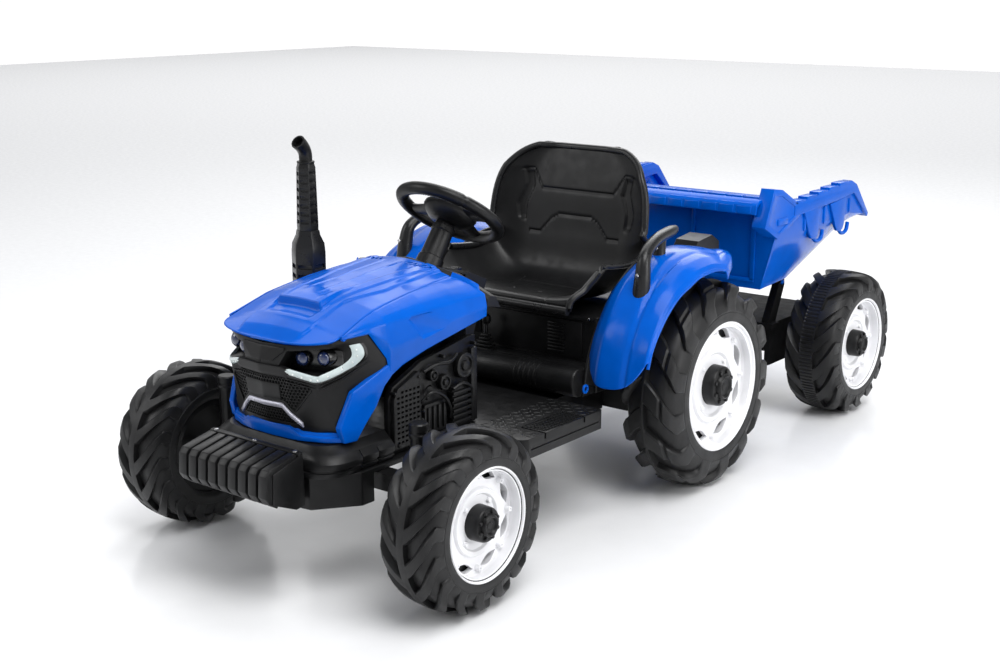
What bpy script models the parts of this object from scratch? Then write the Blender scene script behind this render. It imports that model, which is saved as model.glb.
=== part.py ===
"""Ride-on toy tractor with a tipping trailer. Metres, +Z up, front towards -Y, driver's left towards +X.

Every Y below is measured from the rear axle; the datum empty carries the whole model so that the
origin is on the ground under the middle of the tractor and trailer together.
"""

import math

import bmesh
import bpy
from mathutils import Matrix, Vector

# Driving dimensions
REAR_RADIUS = 0.190
FRONT_RADIUS = 0.139
TRAILER_RADIUS = 0.151
WHEELBASE = 0.690
TRAILER_AXLE = 0.589
FRONT_REACH = 0.892
REAR_REACH = 0.755

# Positions that follow from them
REAR_AXLE_Y = (FRONT_REACH - REAR_REACH) / 2
FRONT_AXLE = -WHEELBASE
WHEEL_STEPS = 24
ROUND_STEPS = 16

AXLE_RADIUS = 0.006
AXLE_HOLE = 0.0075
WALL = 0.004
GAP = 0.0006

# Wheels: lug radius, rim radius, width, outer plane, hub cap radius, axle y
WHEELS = {
    "front": (FRONT_RADIUS, 0.086, 0.100, 0.3445, 0.027, FRONT_AXLE),
    "rear": (REAR_RADIUS, 0.117, 0.110, 0.3365, 0.037, 0.0),
    "trailer": (TRAILER_RADIUS, 0.0965, 0.114, 0.3390, 0.028, TRAILER_AXLE),
}
SIDES = {"left": 1, "right": -1}

# Steering: kingpins, column axis and linkage
KINGPIN_X = 0.211
STEER_HUB = Vector((0, -0.363, 0.519))
STEER_TILT = math.radians(35.5)
STEER_AXIS = Vector((0, math.sin(STEER_TILT), math.cos(STEER_TILT)))
CRANK_DIR = Vector((0, math.cos(STEER_TILT), -math.sin(STEER_TILT)))
CRANK_ARM = 0.030
CRANK_Z = 0.165
KNUCKLE_ARM = 0.050
TIE_ROD_Z = (0.134, 0.141)

# Trailer
HITCH_Y = 0.225
HITCH_Z = 0.166
TIP_HINGE = Vector((0, 0.505, 0.280))

MATERIALS = {
    "blue_shell": ((0.01, 0.10, 0.72), 0.18, 0.0),
    "black_plastic": ((0.012, 0.012, 0.013), 0.42, 0.0),
    "tyre_black": ((0.02, 0.02, 0.021), 0.38, 0.0),
    "rim_white": ((0.82, 0.82, 0.84), 0.30, 0.0),
    "silver_trim": ((0.62, 0.62, 0.66), 0.30, 0.3),
    "lamp_clear": ((0.55, 0.62, 0.75), 0.08, 0.0),
    "led_white": ((0.80, 0.88, 0.86), 0.20, 0.0),
    "steel": ((0.45, 0.45, 0.46), 0.35, 1.0),
}


def clear_scene():
    for old in list(bpy.data.objects):
        bpy.data.objects.remove(old)


def material(name):
    found = bpy.data.materials.get(name)
    if found:
        return found
    colour, roughness, metallic = MATERIALS[name]
    made = bpy.data.materials.new(name)
    made.use_nodes = True
    shader = made.node_tree.nodes["Principled BSDF"]
    shader.inputs["Base Color"].default_value = (*colour, 1)
    shader.inputs["Roughness"].default_value = roughness
    shader.inputs["Metallic"].default_value = metallic
    return made


def to_object(name, bm, look, pivot=(0, 0, 0)):
    """The bmesh as an object on the datum, with its origin at the pivot."""
    pivot = Vector(pivot)
    bmesh.ops.recalc_face_normals(bm, faces=bm.faces)
    bmesh.ops.translate(bm, verts=bm.verts, vec=-pivot)
    mesh = bpy.data.meshes.new(name)
    bm.to_mesh(mesh)
    bm.free()
    mesh.materials.append(material(look))
    obj = bpy.data.objects.new(name, mesh)
    bpy.context.scene.collection.objects.link(obj)
    obj.parent = DATUM
    obj.location = pivot
    return obj


def prism(outline, axis, low, high):
    """A closed outline extruded along an axis. Outline points are (y, z), (x, z) or (x, y)."""
    place = {
        "x": lambda a, b: (low, a, b),
        "y": lambda a, b: (a, low, b),
        "z": lambda a, b: (a, b, low),
    }[axis]
    step = Vector([(high - low) * (axis == each) for each in "xyz"])
    bm = bmesh.new()
    face = bm.faces.new([bm.verts.new(place(a, b)) for a, b in outline])
    moved = bmesh.ops.extrude_face_region(bm, geom=[face])["geom"]
    bmesh.ops.translate(bm, verts=[v for v in moved if isinstance(v, bmesh.types.BMVert)], vec=step)
    return bm


def block(x, y, z):
    """A box from three (low, high) pairs."""
    return prism([(x[0], y[0]), (x[1], y[0]), (x[1], y[1]), (x[0], y[1])], "z", *z)


def turned(profile, centre, axis="x", steps=WHEEL_STEPS, flat_down=False):
    """A closed profile of (along, radius) points turned round an axis through the centre."""
    bm = bmesh.new()
    verts = [bm.verts.new((along, 0, radius)) for along, radius in profile]
    for first, second in zip(verts, verts[1:] + verts[:1]):
        bm.edges.new((first, second))
    geom = list(bm.verts) + list(bm.edges)
    bmesh.ops.spin(
        bm, geom=geom, cent=(0, 0, 0), axis=(1, 0, 0), angle=math.tau, steps=steps, use_merge=True
    )
    bmesh.ops.remove_doubles(bm, verts=bm.verts, dist=1e-6)
    turn = math.pi / steps if flat_down else 0
    bmesh.ops.rotate(bm, verts=bm.verts, cent=(0, 0, 0), matrix=Matrix.Rotation(turn, 3, "X"))
    if axis == "z":
        bmesh.ops.rotate(
            bm, verts=bm.verts, cent=(0, 0, 0), matrix=Matrix.Rotation(-math.pi / 2, 3, "Y")
        )
    bmesh.ops.translate(bm, verts=bm.verts, vec=Vector(centre))
    return bm


def rod(start, end, radius, end_radius=None, sides=ROUND_STEPS):
    """A round bar, straight or tapered, from start to end."""
    start, end = Vector(start), Vector(end)
    run = end - start
    matrix = Matrix.Translation((start + end) / 2) @ run.to_track_quat("Z", "Y").to_matrix().to_4x4()
    bm = bmesh.new()
    bmesh.ops.create_cone(
        bm,
        cap_ends=True,
        segments=sides,
        radius1=radius,
        radius2=radius if end_radius is None else end_radius,
        depth=run.length,
        matrix=matrix,
    )
    return bm


def halves(bm, corners, other_way):
    """A four-cornered patch as two triangles, so that facing skins bend along the same diagonal."""
    a, b, c, d = corners
    if other_way:
        a, b, c, d = b, c, d, a
    bm.faces.new((a, b, c))
    bm.faces.new((a, c, d))


def lofted(rings):
    """A closed solid through rings of the same number of points, capped at both ends."""
    bm = bmesh.new()
    rows = [[bm.verts.new(point) for point in ring] for ring in rings]
    count = len(rows[0])
    for low, high in zip(rows, rows[1:]):
        for i in range(count):
            j = (i + 1) % count
            halves(bm, (low[i], low[j], high[j], high[i]), i >= count / 2)
    bm.faces.new(rows[0])
    bm.faces.new(rows[-1])
    return bm


def shell(rows, under):
    """A closed sheet between a grid of outer points and the matching grid of inner points."""
    bm = bmesh.new()
    top = [[bm.verts.new(p) for p in row] for row in rows]
    low = [[bm.verts.new(p) for p in row] for row in under]
    last_row, last_column = len(rows) - 1, len(rows[0]) - 1
    for grid in (top, low):
        for i in range(last_row):
            for j in range(last_column):
                corners = (grid[i][j], grid[i + 1][j], grid[i + 1][j + 1], grid[i][j + 1])
                halves(bm, corners, j >= last_column / 2)
    for i in range(last_row):
        for j in (0, last_column):
            bm.faces.new((top[i][j], top[i + 1][j], low[i + 1][j], low[i][j]))
    for j in range(last_column):
        for i in (0, last_row):
            bm.faces.new((top[i][j], top[i][j + 1], low[i][j + 1], low[i][j]))
    return bm


def tool(bm):
    """A hidden helper solid for a Boolean."""
    obj = to_object("tool", bm, "steel")
    obj.hide_render = True
    obj.display_type = "WIRE"
    return obj


def combine(obj, operation, solids):
    for bm in solids:
        change = obj.modifiers.new(operation.lower(), "BOOLEAN")
        change.operation = operation
        change.solver = "EXACT"
        change.object = tool(bm)
    return obj


def fuse(obj, *solids):
    return combine(obj, "UNION", solids)


def carve(obj, *solids):
    return combine(obj, "DIFFERENCE", solids)


def away(point, centre, distance):
    """The (y, z) point moved straight away from a (y, z) centre."""
    step = Vector(point) - Vector(centre)
    return tuple(Vector(point) + step.normalized() * distance)


def mirrored(points):
    """An outline given for +X only, front to back, closed by its mirror image."""
    return points + [(-x, other) for x, other in reversed(points) if x > 1e-6]


def spline(points, count):
    """Points evenly spread by parameter along a Catmull-Rom curve through the given ones."""
    points = [Vector(p) for p in points]
    ends = [2 * points[0] - points[1]] + points + [2 * points[-1] - points[-2]]
    made = []
    for k in range(count):
        t = k / (count - 1) * (len(points) - 1)
        i = min(int(t), len(points) - 2)
        t -= i
        a, b, c, d = ends[i : i + 4]
        made.append(
            0.5 * (2 * b + (c - a) * t + (2 * a - 5 * b + 4 * c - d) * t**2
                   + (3 * b - a - 3 * c + d) * t**3)
        )
    return made


# ---------------------------------------------------------------- wheels


def wheel(place, side_name):
    radius, rim, width, plane, hub, axle_y = WHEELS[place]
    side = SIDES[side_name]
    centre = (side * plane, axle_y, radius)
    bore = rim - 0.006
    barrel = bore - GAP
    tip = radius / math.cos(math.pi / WHEEL_STEPS)
    tyre = [
        (-0.0045, bore), (-0.0045, bore + 0.014), (-0.002, 0.88 * tip), (-0.008, 0.95 * tip),
        (-0.020, tip), (0.020 - width, tip), (0.008 - width, 0.95 * tip),
        (0.003 - width, 0.88 * tip), (0.004 - width, bore),
    ]
    inner = barrel - 0.0035
    boss = hub * 0.60
    disc = [
        (0, rim), (0, inner), (-0.028, inner - 0.004), (-0.028, boss), (-0.012, boss),
        (-0.012, AXLE_HOLE), (-0.050, AXLE_HOLE), (-0.050, boss), (-0.032, boss),
        (-0.032, inner - 0.002), (-0.045, barrel), (-0.0036, barrel), (-0.0036, rim),
    ]
    cap = [
        (0.006, 0), (0.006, 0.80 * hub), (0.002, 0.88 * hub), (-0.004, 0.90 * hub), (-0.004, hub),
        (-0.0273, hub), (-0.0273, boss + 0.0012), (0.0, boss + 0.0012), (0.0, 0),
    ]
    for part, profile, look in (
        ("tyre", tyre, "tyre_black"), ("rim", disc, "rim_white"), ("hub_cap", cap, "black_plastic"),
    ):
        profile = [(side * along, r) for along, r in profile]
        steps = ROUND_STEPS if part == "hub_cap" else WHEEL_STEPS
        bm = turned(profile, centre, steps=steps, flat_down=True)
        to_object(f"{place}_{part}_{side_name}", bm, look, centre)


# ---------------------------------------------------------------- tractor body

TRAY_Z = (0.137, 0.190)
FLOOR_Z = (0.163, 0.197)
STEER_NOTCH_Y = (-0.714, -0.582)


def chassis_tray():
    """Central backbone under the bonnet and floor: an upside-down tray."""
    outline = mirrored([(0, -0.815), (0.094, -0.803), (0.142, -0.740), (0.142, -0.100), (0, -0.100)])
    inner = mirrored([(0, -0.811), (0.092, -0.799), (0.138, -0.738), (0.138, -0.104), (0, -0.104)])
    tray = to_object("chassis_tray", prism(outline, "z", *TRAY_Z), "black_plastic")
    low, top = TRAY_Z
    carve(
        tray,
        prism(inner, "z", low - 0.02, top - WALL),
        block((-0.2, 0.2), STEER_NOTCH_Y, (low - 0.02, 0.182)),
        rod(column_point(0.12), column_point(0.24), 0.013),
    )


def footboard():
    """Floor pan with the two side steps; its front corners are cut away behind the wheels."""
    outline = mirrored(
        [(0, -0.580), (0.150, -0.580), (0.165, -0.540), (0.225, -0.500), (0.255, -0.480),
         (0.255, -0.268), (0, -0.268)]
    )
    inner = mirrored(
        [(0, -0.575), (0.147, -0.575), (0.162, -0.536), (0.222, -0.495), (0.250, -0.476),
         (0.250, -0.273), (0, -0.273)]
    )
    low, top = FLOOR_Z
    floor = to_object("footboard", prism(outline, "z", low, top), "black_plastic")
    carve(
        floor,
        prism(inner, "z", low - 0.02, top - WALL),
        block((-0.1428, 0.1428), (-0.70, -0.1), (low - 0.02, TRAY_Z[1] + GAP)),
        rod(column_point(0.14), column_point(0.26), 0.013),
    )


def front_bumper():
    """Nose weight block with its skirt: ribs and face slope back to the chin."""
    side = [(-0.892, 0.172), (-0.889, 0.221), (-0.818, 0.234), (-0.816, 0.150), (-0.832, 0.147)]
    bumper = to_object("front_bumper", prism(side, "x", -0.098, 0.098), "black_plastic")
    ribs = 9
    pitch = 0.196 / ribs
    grooves = []
    for k in range(1, ribs):
        x = -0.098 + k * pitch
        grooves.append(block((x - 0.0025, x + 0.0025), (-0.90, -0.884), (0.160, 0.215)))
    carve(bumper, *grooves)


def bumper_skirt():
    """Wide lower nose behind the weight block, on top of the tray."""
    rings = []
    for z, half, front in ((0.1906, 0.136, -0.812), (0.212, 0.140, -0.806), (0.2335, 0.118, -0.790)):
        corner = half - 0.035
        outline = mirrored([(0, front), (corner, front), (half, front + 0.035),
                            (half, -0.664), (0, -0.664)])
        rings.append([(x, y, z) for x, y in outline])
    to_object("nose_skirt", lofted(rings), "black_plastic")


# Side cowl stations: y, then (x, z) of the seam, the shoulder, the middle and the bottom edge. The
# rear edge runs forwards from the shoulder to the seam, along the dash.
COWL_STATIONS = [
    (-0.742, (0.1165, 0.400), (0.122, 0.395), (0.1220, 0.393), (0.121, 0.391)),
    (-0.700, (0.1150, 0.416), (0.135, 0.400), (0.1360, 0.397), (0.135, 0.394)),
    (-0.682, (0.1142, 0.421), (0.139, 0.402), (0.1410, 0.376), (0.140, 0.344)),
    (-0.650, (0.1130, 0.427), (0.142, 0.403), (0.1440, 0.360), (0.141, 0.316)),
    (-0.590, (0.1108, 0.435), (0.146, 0.405), (0.1480, 0.371), (0.145, 0.337)),
    (-0.520, (0.1075, 0.441), (0.149, 0.406), (0.1505, 0.378), (0.148, 0.350)),
    (-0.450, (0.1045, 0.443), (0.150, 0.407), (0.1505, 0.385), (0.150, 0.361)),
]
COWL_REAR_SEAM = -0.4865
COWL_WALL = [(0, -0.009), (-0.007, -0.006), (-0.009, 0), (-0.009, 0.001)]
NOSE_Y = -0.803
NOSE_Z = 0.387
BONNET_REAR = -0.486


def seam(y):
    """(x, z) of the joint between the bonnet top and the side cowl; the nose rounds off in front."""
    stations = [(at, *line[0]) for at, *line in COWL_STATIONS]
    stations[-1] = (COWL_REAR_SEAM, *stations[-1][1:])
    first = stations[0]
    if y <= first[0]:
        share = max(0.0, (y - NOSE_Y) / (first[0] - NOSE_Y))
        return first[1] * (1 - (1 - share) ** 2.6) ** (1 / 2.6), NOSE_Z + (first[2] - NOSE_Z) * share
    for low, high in zip(stations, stations[1:]):
        if y <= high[0]:
            break
    share = (y - low[0]) / (high[0] - low[0])
    return low[1] + share * (high[1] - low[1]), low[2] + share * (high[2] - low[2])


def bonnet_top():
    """Domed top panel that narrows a little towards the dash."""
    rows = []
    for y in (-0.8025, -0.800, -0.793, -0.780, -0.763, -0.742, -0.700, -0.650, -0.590, -0.520, BONNET_REAR):
        half, edge = seam(y)
        half -= 0.0008
        dome = 0.014 * min(1, (y - NOSE_Y) / 0.05)
        rows.append([(half * u, y, edge + dome * (1 - u * u)) for u in (-1, -0.7, -0.35, 0, 0.35, 0.7, 1)])
    under = [[(x, y + 0.001, z - 0.005) for x, y, z in row] for row in rows]
    to_object("bonnet_top", shell(rows, under), "blue_shell")


def bonnet_shell():
    """The blue cowl in one piece: two side panels with their struts, and the chin between them."""
    chin_line = [(0, -0.793), (0.060, -0.789), (0.098, -0.774), (0.126, -0.745)]
    inner_line = [(0, -0.776), (0.052, -0.772), (0.088, -0.758), (0.112, -0.735)]
    outline = [(-x, y) for x, y in reversed(chin_line[1:])] + chin_line
    outline += [(x, y) for x, y in reversed(inner_line)] + [(-x, y) for x, y in inner_line[1:]]
    cowl = to_object("bonnet_shell", prism(outline, "z", 0.2345, 0.262), "blue_shell")
    parts = []
    for sign in SIDES.values():
        rows = [[(sign * x, y, z) for x, z in station] for y, *station in COWL_STATIONS]
        rows[-1][0] = (rows[-1][0][0], COWL_REAR_SEAM, rows[-1][0][2])
        under = [[(x + sign * dx, y, z + dz) for (x, y, z), (dx, dz) in zip(row, COWL_WALL)] for row in rows]
        parts.append(shell(rows, under))
        strut = [(0.1405, -0.640, 0.322), (0.1400, -0.684, 0.350), (0.1250, -0.732, 0.307),
                 (0.1220, -0.750, 0.262), (0.1240, -0.750, 0.2346), (0.1290, -0.702, 0.2346),
                 (0.1365, -0.672, 0.285)]
        outer = [(sign * x, y, z) for x, y, z in strut]
        inner = [(sign * (x - 0.011), y, z) for x, y, z in strut]
        parts.append(lofted([outer, inner]))
    fuse(cowl, *parts)
    slope = (COWL_STATIONS[-1][0] - COWL_REAR_SEAM) / 0.0455
    behind = [(x, COWL_REAR_SEAM + slope * (x - 0.1045)) for x in (0.080, 0.160)] + [(0.160, -0.40), (0.080, -0.40)]
    carve(cowl, *[prism([(sign * x, y) for x, y in behind], "z", 0.30, 0.48) for sign in SIDES.values()])


FACE_RINGS = [
    [(0, -0.795, 0.2632), (0.050, -0.790, 0.2632), (0.085, -0.778, 0.2632), (0.110, -0.7515, 0.2632)],
    [(0, -0.801, 0.307), (0.052, -0.796, 0.307), (0.090, -0.779, 0.307), (0.1205, -0.7335, 0.307)],
    [(0, -0.806, 0.350), (0.055, -0.800, 0.350), (0.098, -0.779, 0.350), (0.1370, -0.6865, 0.350)],
    [(0, -0.798, 0.3790), (0.055, -0.791, 0.3800), (0.098, -0.768, 0.3850), (0.1330, -0.7015, 0.3925)],
]


def face_mask():
    """Black nose: a curved plate that carries the lamps, the grille and the trim."""
    rings = []
    for ring in FACE_RINGS:
        depth = [(max(0, x - 0.014), y + (0.038 if k < 3 else 0.002), z) for k, (x, y, z) in enumerate(ring)]
        front = [(-x, y, z) for x, y, z in reversed(ring[1:])] + ring
        back = [(-x, y, z) for x, y, z in reversed(depth[1:])] + depth
        rings.append(front + list(reversed(back)))
    mask = to_object("face_mask", lofted(rings), "black_plastic")
    pockets = []
    for sign in SIDES.values():
        outline = [(0.046, -0.83), (0.046, -0.7708), (0.110, -0.7465), (0.121, -0.762), (0.121, -0.83)]
        outline = [(sign * x, y) for x, y in outline]
        pockets.append(prism(outline, "z", 0.341, 0.3745))
        pockets.append(led_band(sign, GAP))
    carve(mask, *pockets)


def headlamp(name, sign):
    """Two clear bullet lenses on one bar that follows the curve of the nose."""
    plan = [(0.0475, -0.7770), (0.1090, -0.7535), (0.1085, -0.7480), (0.0475, -0.7716)]
    plan = [(sign * x, y) for x, y in plan]
    lamp = to_object(f"headlamp_{name}", prism(plan, "z", 0.3500, 0.3735), "lamp_clear")
    lenses = []
    for x, base, front in ((0.0655, -0.766, -0.7855), (0.0985, -0.754, -0.7730)):
        lenses.append(rod((sign * x, base, 0.363), (sign * x, front, 0.363), 0.0100, 0.0085, 10))
    fuse(lamp, *lenses)
    back = [(0.04, -0.7687), (0.1085, -0.7425), (0.1085, -0.73), (0.04, -0.73)]
    carve(lamp, prism([(sign * x, y - 0.0055) for x, y in back], "z", 0.34, 0.38), led_band(sign, GAP))


LED_PATH = [
    ((0.052, -0.8005, 0.343), (0, 0, 0.0100)),
    ((0.090, -0.7845, 0.332), (-0.002, -0.001, 0.0100)),
    ((0.105, -0.7660, 0.338), (-0.006, -0.005, 0.0080)),
    ((0.1275, -0.7220, 0.3790), (-0.006, -0.006, 0.0040)),
]


def led_band(sign, grow):
    """Hockey-stick band on the surface of the nose: under the lenses and up outside them."""
    rings = []
    for k, (point, across) in enumerate(LED_PATH):
        point, across = Vector(point), Vector(across)
        along = Vector(LED_PATH[min(k + 1, 3)][0]) - Vector(LED_PATH[max(k - 1, 0)][0])
        depth = along.cross(across).normalized()
        depth *= -1 if depth.y < 0 else 1
        across += across.normalized() * 3 * grow
        point += along.normalized() * grow * (k == 3) - along.normalized() * grow * (k == 0)
        corners = [point + across / 2, point - across / 2]
        corners += [corner + depth * (0.007 + 2 * grow) for corner in reversed(corners)]
        if grow:
            corners[0] -= depth * 0.012
            corners[1] -= depth * 0.012
        rings.append([(sign * x, y, z) for x, y, z in corners])
    return lofted(rings)


def led_strip(name, sign):
    to_object(f"led_strip_{name}", led_band(sign, 0), "led_white")


def grille_strip():
    """Silver moustache across the lower grille."""
    line = [(0, 0.300), (0.037, 0.300), (0.078, 0.272)]
    outline = [(-x, z) for x, z in reversed(line[1:])] + line
    outline += [(x, z - 0.0065) for x, z in reversed(outline)]
    strip = to_object("grille_strip", prism(outline, "y", -0.8065, -0.780), "silver_trim")
    rings = []
    for ring in FACE_RINGS[:2]:
        front = [(x, y - GAP, z) for x, y, z in ring]
        front = [(-x, y, z) for x, y, z in reversed(front[1:])] + front
        rings.append(front + [(ring[-1][0], -0.70, ring[0][2]), (-ring[-1][0], -0.70, ring[0][2])])
    carve(strip, lofted(rings))


def dash_panel():
    """Trim band behind the bonnet, the console under it and the sleeve round the steering shaft."""
    sections = []
    for x, front, top in ((0.1500, -0.4488, 0.409), (0.1050, -0.4842, 0.447), (0, -0.4842, 0.461)):
        sections.append((x, [(front, top - 0.016), (front, top - 0.004), (front + 0.008, top),
                             (front + 0.022, top - 0.004), (front + 0.034, top - 0.024)]))
    sections = [(-x, ring) for x, ring in sections] + [(x, ring) for x, ring in reversed(sections[:-1])]
    trim = lofted([[(x, y, z) for y, z in ring] for x, ring in sections])
    panel = to_object("dash_panel", trim, "black_plastic")
    console = [(-0.4475, 0.198), (-0.4475, 0.4400), (-0.455, 0.4400), (-0.455, 0.4430), (-0.440, 0.4430),
               (-0.392, 0.4230), (-0.430, 0.330), (-0.438, 0.198)]
    fuse(
        panel,
        prism(console, "x", -0.103, 0.103),
        rod(column_point(0.425), column_point(0.500), 0.0205, 0.0175),
    )
    carve(
        panel,
        rod(column_point(0.30), column_point(0.53), 0.0095),
        block((0.042, 0.064), (-0.432, -0.407), (0.4215, 0.480)),
        block((-0.064, -0.042), (-0.432, -0.407), (0.4215, 0.480)),
    )


def column_point(height):
    """The point of the steering column's axis at a height."""
    return STEER_HUB + STEER_AXIS * ((height - STEER_HUB.z) / STEER_AXIS.z)


def exhaust():
    """Six-sided stack in two stages with an angled outlet pipe."""
    x, y = -0.184, -0.519
    stages = [(0.2005, 0.022), (0.230, 0.030), (0.470, 0.030), (0.492, 0.020), (0.608, 0.0165)]
    rings = []
    for z, radius in stages:
        rings.append(
            [(x + radius * math.cos(a), y + radius * math.sin(a), z)
             for a in (math.tau * (k + 0.5) / 6 for k in range(6))]
        )
    stack = to_object("exhaust_stack", lofted(rings), "black_plastic")
    bend = Vector((x, y, 0.627))
    fuse(
        stack,
        rod((x, y, 0.60), bend, 0.0115),
        rod(bend - Vector((0, -0.002, 0.005)), bend + Vector((0.002, -0.018, 0.017)), 0.0112, 0.0128),
    )
    foot = block((x - 0.022, x + 0.024), (y - 0.022, y + 0.022), (0.1978, 0.206))
    fuse(stack, foot)


def engine_cover(name, sign):
    """Moulded imitation of the engine block under each side panel."""
    outline = [(-0.662, 0.1912), (-0.662, 0.282), (-0.652, 0.2985), (-0.586, 0.3255), (-0.470, 0.3435),
               (-0.452, 0.3435),
               (-0.452, 0.1978), (-0.582, 0.1978), (-0.582, 0.1912)]
    low, high = sorted((sign * 0.116, sign * 0.130))
    cover = to_object(f"engine_cover_{name}", prism(outline, "x", low, high), "black_plastic")
    low, high = sorted((sign * 0.126, sign * 0.143))
    fuse(
        cover,
        rod((sign * 0.12, -0.487, 0.300), (sign * 0.139, -0.487, 0.300), 0.018),
        block((low, high), (-0.535, -0.470), (0.205, 0.275)),
        block(sorted((sign * 0.126, sign * 0.136)), (-0.655, -0.600), (0.205, 0.292)),
    )


def seat_box():
    """Rear body: seat plinth, wheel arch cheeks and the housing for battery and drives."""
    body = to_object("seat_box", block((-0.195, 0.195), (-0.200, 0.130), (0.1975, 0.3335)), "black_plastic")
    arc = [math.radians(a) for a in range(52, 173, 10)]
    cheek = [(0.238 * math.cos(a), REAR_RADIUS + 0.238 * math.sin(a)) for a in arc]
    cheek += [(-0.200, 0.21), (0.130, 0.25)]
    fuse(
        body,
        block((-0.190, 0.190), (-0.2665, -0.195), (0.1975, 0.252)),
        block((-0.195, 0.195), (-0.098, 0.130), (0.140, 0.20)),
        prism(cheek, "x", 0.190, 0.1951),
        prism(cheek, "x", -0.1951, -0.190),
    )
    carve(
        body,
        block((-0.189, 0.189), (-0.094, 0.126), (0.10, 0.3295)),
        block((-0.189, 0.189), (-0.195, -0.09), (0.2015, 0.3295)),
        rod((-0.25, 0, REAR_RADIUS), (0.25, 0, REAR_RADIUS), 0.0205),
    )


SEAT_LINE = [(-0.243, 0.3490), (-0.239, 0.3620), (-0.215, 0.3620), (-0.130, 0.348), (-0.060, 0.345),
             (-0.018, 0.366), (-0.001, 0.430), (0.012, 0.510), (0.026, 0.575), (0.032, 0.598)]


def seat():
    """Bucket seat: one moulding whose pan, sides and back flow together."""
    line = spline([(y, z) for y, z in SEAT_LINE], 17)
    rows, under = [], []
    for point in line:
        climb = max(0, min(0.975, (point.y - 0.43) / 0.172))
        half = 0.179 * (1 - climb**2.8) ** (1 / 2.8)
        half -= 0.012 * max(0, (-0.215 - point.x) / 0.028)
        lift = 0.062 * min(1, (point.x + 0.243) / 0.085) * min(1, max(0, (0.46 - point.y) / 0.08))
        wrap = 0.030 * min(1, max(0, (point.y - 0.36) / 0.06)) * min(1, (0.612 - point.y) / 0.06)
        row, back = [], []
        for u in (-1, -0.86, -0.66, -0.35, 0, 0.35, 0.66, 0.86, 1):
            rise = max(0, (abs(u) - 0.55) / 0.45) ** 2
            row.append((half * u, point.x - rise * wrap, point.y + rise * lift))
            back.append((half * u, *away((point.x, point.y + rise * lift), (-0.15, 0.52), 0.005)))
        rows.append(row)
        under.append(back)
    to_object("seat", shell(rows, under), "black_plastic")


# Mudguard crest radius about the axle at angles from the rear round to the front
FENDER_CREST = [(45, 0.257), (56, 0.249), (70, 0.243), (85, 0.245), (100, 0.256), (115, 0.267),
                (130, 0.273), (150, 0.272), (168, 0.268)]
# Section from the inner to the outer edge: x, drop below the crest, and the edge's extra roll-off
FENDER_SECTION = [(0.1965, 0.030, 0), (0.215, 0.013, 0), (0.236, 0, 0), (0.272, 0.001, 0),
                  (0.305, 0.004, 0.3), (0.330, 0.004, 1)]


def fender_point(column, degrees):
    """A point of the mudguard's upper surface, as (x, y, z) on the +X side."""
    x, drop, roll = FENDER_SECTION[column]
    for low, high in zip(FENDER_CREST, FENDER_CREST[1:]):
        if degrees <= high[0]:
            break
    share = (degrees - low[0]) / (high[0] - low[0])
    radius = low[1] + share * (high[1] - low[1]) - drop
    radius -= 0.023 * roll * min(1, max(0, (155 - degrees) / 35))
    angle = math.radians(degrees)
    return x, radius * math.cos(angle), REAR_RADIUS + radius * math.sin(angle)


def fender(name, sign):
    """Mudguard over the rear wheel, longer on its inner side at the back."""
    steps = 13
    rows, under = [], []
    for k in range(steps + 1):
        row = []
        for column in range(len(FENDER_SECTION)):
            outer = column / (len(FENDER_SECTION) - 1)
            start, end = 46 + 40 * outer**1.5, 168 + 12 * outer * (1 - outer) - 6 * outer**2
            row.append(fender_point(column, start + (end - start) * k / steps))
        rows.append([(sign * x, y, z) for x, y, z in row])
        under.append([(sign * x, *away((y, z), (0, REAR_RADIUS), -0.004)) for x, y, z in row])
    to_object(f"fender_{name}", shell(rows, under), "blue_shell")


def grab_handle(name, sign):
    """Bent grab bar on the mudguard, with a front foot and a short rear foot."""
    path = [(0.270, -0.180, 0.372), (0.270, -0.176, 0.412), (0.266, -0.163, 0.446),
            (0.256, -0.112, 0.466), (0.243, -0.030, 0.472)]
    path = spline([(sign * x, y, z) for x, y, z in path], 12)
    rings = []
    for k, point in enumerate(path):
        before, after = path[max(k - 1, 0)], path[min(k + 1, len(path) - 1)]
        across = Vector((1, 0, 0))
        up = (after - before).cross(across).normalized()
        radius = 0.0165 - 0.0060 * min(1, k / 6)
        rings.append([point + radius * (math.cos(a) * across + math.sin(a) * up)
                      for a in (math.tau * i / 10 for i in range(10))])
    bar = to_object(f"grab_handle_{name}", lofted(rings), "black_plastic")
    fuse(bar, rod((sign * 0.248, -0.088, 0.425), (sign * 0.248, -0.088, 0.466), 0.0115, sides=10))
    rings = []
    for degrees in range(85, 166, 8):
        crest = [fender_point(column, degrees) for column in range(len(FENDER_SECTION))]
        top = [(sign * x, *away((y, z), (0, REAR_RADIUS), 0.0020)) for x, y, z in crest]
        low = [(sign * x, *away((y, z), (0, REAR_RADIUS), -0.05)) for x, y, z in reversed(crest)]
        rings.append(top + low)
    carve(bar, lofted(rings))


def rear_deck():
    """Black shoulders behind the seat, joined low across the back."""
    side = [(0.1312, 0.335), (0.1312, 0.398), (0.150, 0.418), (0.200, 0.424), (0.228, 0.408),
            (0.228, 0.390), (0.200, 0.380), (0.170, 0.335)]
    deck = to_object("rear_deck", prism(side, "x", 0.138, 0.1885), "black_plastic")
    fuse(
        deck,
        prism(side, "x", -0.1885, -0.138),
        block((-0.15, 0.15), (0.1312, 0.160), (0.336, 0.356)),
    )


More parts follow.
